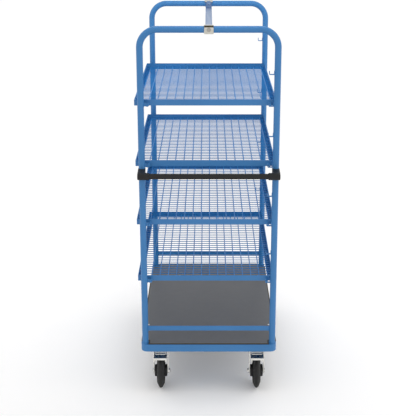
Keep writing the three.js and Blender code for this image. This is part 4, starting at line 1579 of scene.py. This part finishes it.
for name in castor_centre:
    centre = middle_of(name + "_axle")
    rubber = assemble(name + "_rubber", [tyre(centre)], tyre_rubber)
    seat(rubber, [name + "_tyre"])
    moulded = assemble(name + "_centre", wheel_centre(centre), hub_black)
    seat(moulded, [name + "_hub"])
    bolt = axle_bolt(centre, 1 if name.endswith("left") else -1)
    seat(assemble(name + "_axle_bolt", bolt, zinc), [name + "_axle"])

# %% [markdown]
# ## Brake pedals
# The pedal is a pressed sheet with two treads and a turned down lip, on two arms that pivot on a
# pin in the fork. Pushed down, it presses a shoe on the tyre. The treads mirror the blue rail above
# them, and the risers and the lip mirror the floor, which is why the photograph shows dark and
# pale bars.

# %% Treads, arms, pin and shoe of a brake pedal
pedal_half = 29 * MM
pedal_step_half = 23 * MM
pedal_sheet = 2.5 * MM
pedal_bend = 1.6 * MM
lip_width = 7 * MM
arm_hole_play = 0.1 * MM
pin_rise = 3 * MM
pin_head = 4.5 * MM
pin_head_width = 2.2 * MM
pin_head_dome = 0.3 * MM
shoe_width = 34 * MM
shoe_bend = 3 * MM


def treads():
    """The two treads, pressed in steps, and the lip at each front corner."""
    upper = in_mm((-60, 188.6), (-79, 187), (-80.4, 182.8), (-90, 182), (-91.4, 178.6))
    lower = in_mm((-90, 178.8), (-121, 173.6), (-123.6, 166.5))
    sheets = []
    for line, half in ((upper, pedal_step_half), (lower, pedal_half)):
        place = (2 * half, 0, "YZ", small_sheet_edge)
        sheets.append(bent_strip(line, pedal_bend, pedal_sheet, *place, steps=3))
    lip = rectangle(*in_mm((-125, 158), (-122.4, 167.5)))
    for side in (-1, 1):
        x = side * (pedal_half - lip_width / 2)
        sheets.append(plate([lip], lip_width, x, "YZ", small_sheet_edge))
    return sheets


def pedal_arms():
    """The two arms, each a flat plate from the treads back past the pin."""
    arm = in_mm((-112, 173), (-96, 166), (-60, 168), (-32, 172))
    arm += in_mm((-32, 184), (-60, 187.5), (-82, 185.5), (-98, 179.5))
    arm = filleted(arm, [radius * MM for radius in (3, 8, 12, 6, 6, 2, 2, 2)], steps=4)
    hole = ring(pedal_pin_radius + arm_hole_play, pedal_pin, flats=20)
    x = pedal_half - pedal_sheet
    return [plate([arm, hole], pedal_sheet, side * x, "YZ") for side in (-1, 1)]


def pin_and_shoe():
    """The pivot pin with its two flat heads, and the bent strip that presses on the tyre."""
    reach = fork_half_width + pin_rise
    half = [(pedal_pin_radius, reach - pin_head_width), (pin_head, reach - pin_head_width)]
    half += [(pin_head, reach - pin_head_dome), (0, reach)]
    pin = turned(both_ways(half), (0, *pedal_pin), "X", flats=24)
    line = in_mm((-66, 187), (-66, 167.2), (-52, 166.8))
    return [pin, bent_strip(line, shoe_bend, pedal_sheet, shoe_width, 0, "YZ")]


# %% Springs on the pivot pins, and the pedals joined up
coil_sizes = {"wire": "size", "radius": "size", "length": "size", "turns": "size"}
coil_tree, given = start_tree("coil spring", **coil_sizes, centre="place")
helix = step(
    coil_tree,
    "GeometryNodeCurveSpiral",
    {
        "Resolution": 20,
        "Rotations": given["turns"],
        "Start Radius": given["radius"],
        "End Radius": given["radius"],
        "Height": given["length"],
    },
)
wire_section = step(
    coil_tree,
    "GeometryNodeCurvePrimitiveCircle",
    {"Resolution": 8, "Radius": given["wire"]},
)
coil = step(
    coil_tree,
    "GeometryNodeCurveToMesh",
    {"Curve": helix, "Profile Curve": wire_section, "Fill Caps": True},
)
coil = lifted(coil_tree, coil, sum_of(coil_tree, "MULTIPLY", given["length"], -0.5))
coil = step(
    coil_tree,
    "GeometryNodeTransform",
    {"Geometry": coil, "Rotation": (0, QUARTER, 0), "Translation": given["centre"]},
)
end_tree(coil_tree, coil, given["finish"])

SPRING = {"wire": 1 * MM, "radius": 4.6 * MM, "length": 30 * MM, "turns": 11.0}


def spring():
    return grown(coil_tree, points_mesh([(0, 0, 0)]), zinc, centre=(0, *pedal_pin), **SPRING)


for side in SIDES:
    name = "near_" + side
    shapes = [*treads(), *pedal_arms(), *pin_and_shoe(), spring()]
    shapes = [moved(shape, castor_centre[name]) for shape in shapes]
    seat(assemble(name + "_treadle", shapes, zinc), [name + "_brake_pedal"])

# %% [markdown]
# ## Floor, light and background
# The picture was taken on a white sweep. One very broad light hangs overhead, a dome fills in from
# all round, and a panel at the right lifts that side. A small panel above the near arch looks only
# at the far end, which the photograph shows brighter than the near one. The floor keeps the
# trolley's soft shadow. It is pale by itself, and a little light of its own, seen only by the
# camera and by mirrors, lifts it to white where no shadow falls.

# %% Floor
floor_half = 40.0
floor_glow = 0.088


def floor():
    mesh = bpy.data.meshes.new("floor")
    corners = rectangle((-floor_half, -floor_half), (floor_half, floor_half))
    mesh.from_pydata([(x, y, 0) for x, y in corners], [], [(0, 1, 2, 3)])
    material = bpy.data.materials.new("studio floor")
    material.use_nodes = True
    tree = material.node_tree
    shader = tree.nodes["Principled BSDF"]
    shader.inputs["Base Color"].default_value = tone(249, 248, 247)
    shader.inputs["Roughness"].default_value = 0.9
    shader.inputs["Specular IOR Level"].default_value = 0.1
    rays = tree.nodes.new("ShaderNodeLightPath")
    seen = sum_of(tree, "MAXIMUM", rays.outputs["Is Camera Ray"], rays.outputs["Is Glossy Ray"])
    strength = sum_of(tree, "MULTIPLY", seen, floor_glow)
    glow = step(tree, "ShaderNodeEmission", {"Color": (1, 1, 1, 1), "Strength": strength})
    both = step(tree, "ShaderNodeAddShader", {0: shader.outputs[0], 1: glow})
    tree.links.new(both, tree.nodes["Material Output"].inputs["Surface"])
    mesh.materials.append(material)
    ground = bpy.data.objects.new("floor", mesh)
    bpy.context.scene.collection.objects.link(ground)
    return ground


floor()
print("floor glow:", floor_glow)

# %% World and lamps
sky_light = 0.87
overhead_light = 0.44
overhead_spread = 75


def sky():
    """White to the camera and to mirrors, and a little less as a light."""
    world = bpy.data.worlds.new("studio")
    bpy.context.scene.world = world
    world.use_nodes = True
    tree = world.node_tree
    rays = tree.nodes.new("ShaderNodeLightPath")
    seen = sum_of(tree, "MAXIMUM", rays.outputs["Is Camera Ray"], rays.outputs["Is Glossy Ray"])
    seen = sum_of(tree, "MAXIMUM", seen, rays.outputs["Is Transmission Ray"])
    strength = step(tree, "ShaderNodeMapRange", {"Value": seen, "To Min": sky_light, "To Max": 1.0})
    tree.links.new(strength, tree.nodes["Background"].inputs["Strength"])
    tree.nodes["Background"].inputs["Color"].default_value = (1, 1, 1, 1)


def hang(data, place, aim):
    """Puts a lamp in its place, pointed at aim, and keeps it out of sight and out of mirrors."""
    item = bpy.data.objects.new(data.name, data)
    item.location = place
    item.rotation_euler = (Vector(aim) - Vector(place)).to_track_quat("-Z", "Y").to_euler()
    item.visible_camera = False
    item.visible_glossy = False
    bpy.context.scene.collection.objects.link(item)
    print(f"{data.name}: strength {data.energy}")


def overhead():
    data = bpy.data.lights.new("overhead light", "SUN")
    data.angle = math.radians(overhead_spread)
    data.energy = overhead_light
    hang(data, (0.4, 2.4, 4), (0, 0, 0))


def panel(name, place, aim, size, power, spread=180):
    data = bpy.data.lights.new(name, "AREA")
    data.shape = "RECTANGLE"
    data.size, data.size_y = size
    data.energy = power
    data.spread = math.radians(spread)
    hang(data, place, aim)


sky()
overhead()
panel("right panel", (3.4, -1.2, 1.6), aim=(0, 0, 0.9), size=(1.6, 2.4), power=12)
panel(
    "rear top panel",
    (0, -0.45, 2.4),
    aim=(0, 0.53, 0.75),
    size=(0.8, 0.4),
    power=2.2,
    spread=80,
)

# %% [markdown]
# ## Camera
# The picture was taken from in front of the handle, some four metres away and well above it. The
# lens is long, and the camera looks down with no shift, so that every other view stays centred.

# %% Camera
photo_width = 416
focal_pixels = 995
camera_back = 4.1
camera_height = 2.187
camera_pitch = 17.75
aside = 3.4 * MM


def camera():
    data = bpy.data.cameras.new("camera")
    data.sensor_width = 36.0
    data.lens = focal_pixels / photo_width * data.sensor_width
    data.clip_end = 200
    item = bpy.data.objects.new("camera", data)
    item.location = (arch_centre_x - aside, post_y["near"] - camera_back, camera_height)
    item.rotation_euler = (math.radians(90 - camera_pitch), 0, 0)
    bpy.context.scene.collection.objects.link(item)
    bpy.context.scene.camera = item
    print("lens", round(data.lens, 1), "mm at", [round(x, 3) for x in item.location])


camera()
bpy.context.scene.view_settings.view_transform = "Standard"

# %% [markdown]
# ## Last step
# The view layer is brought up to date once more.

# %% Bring the view layer up to date
bpy.context.view_layer.update()
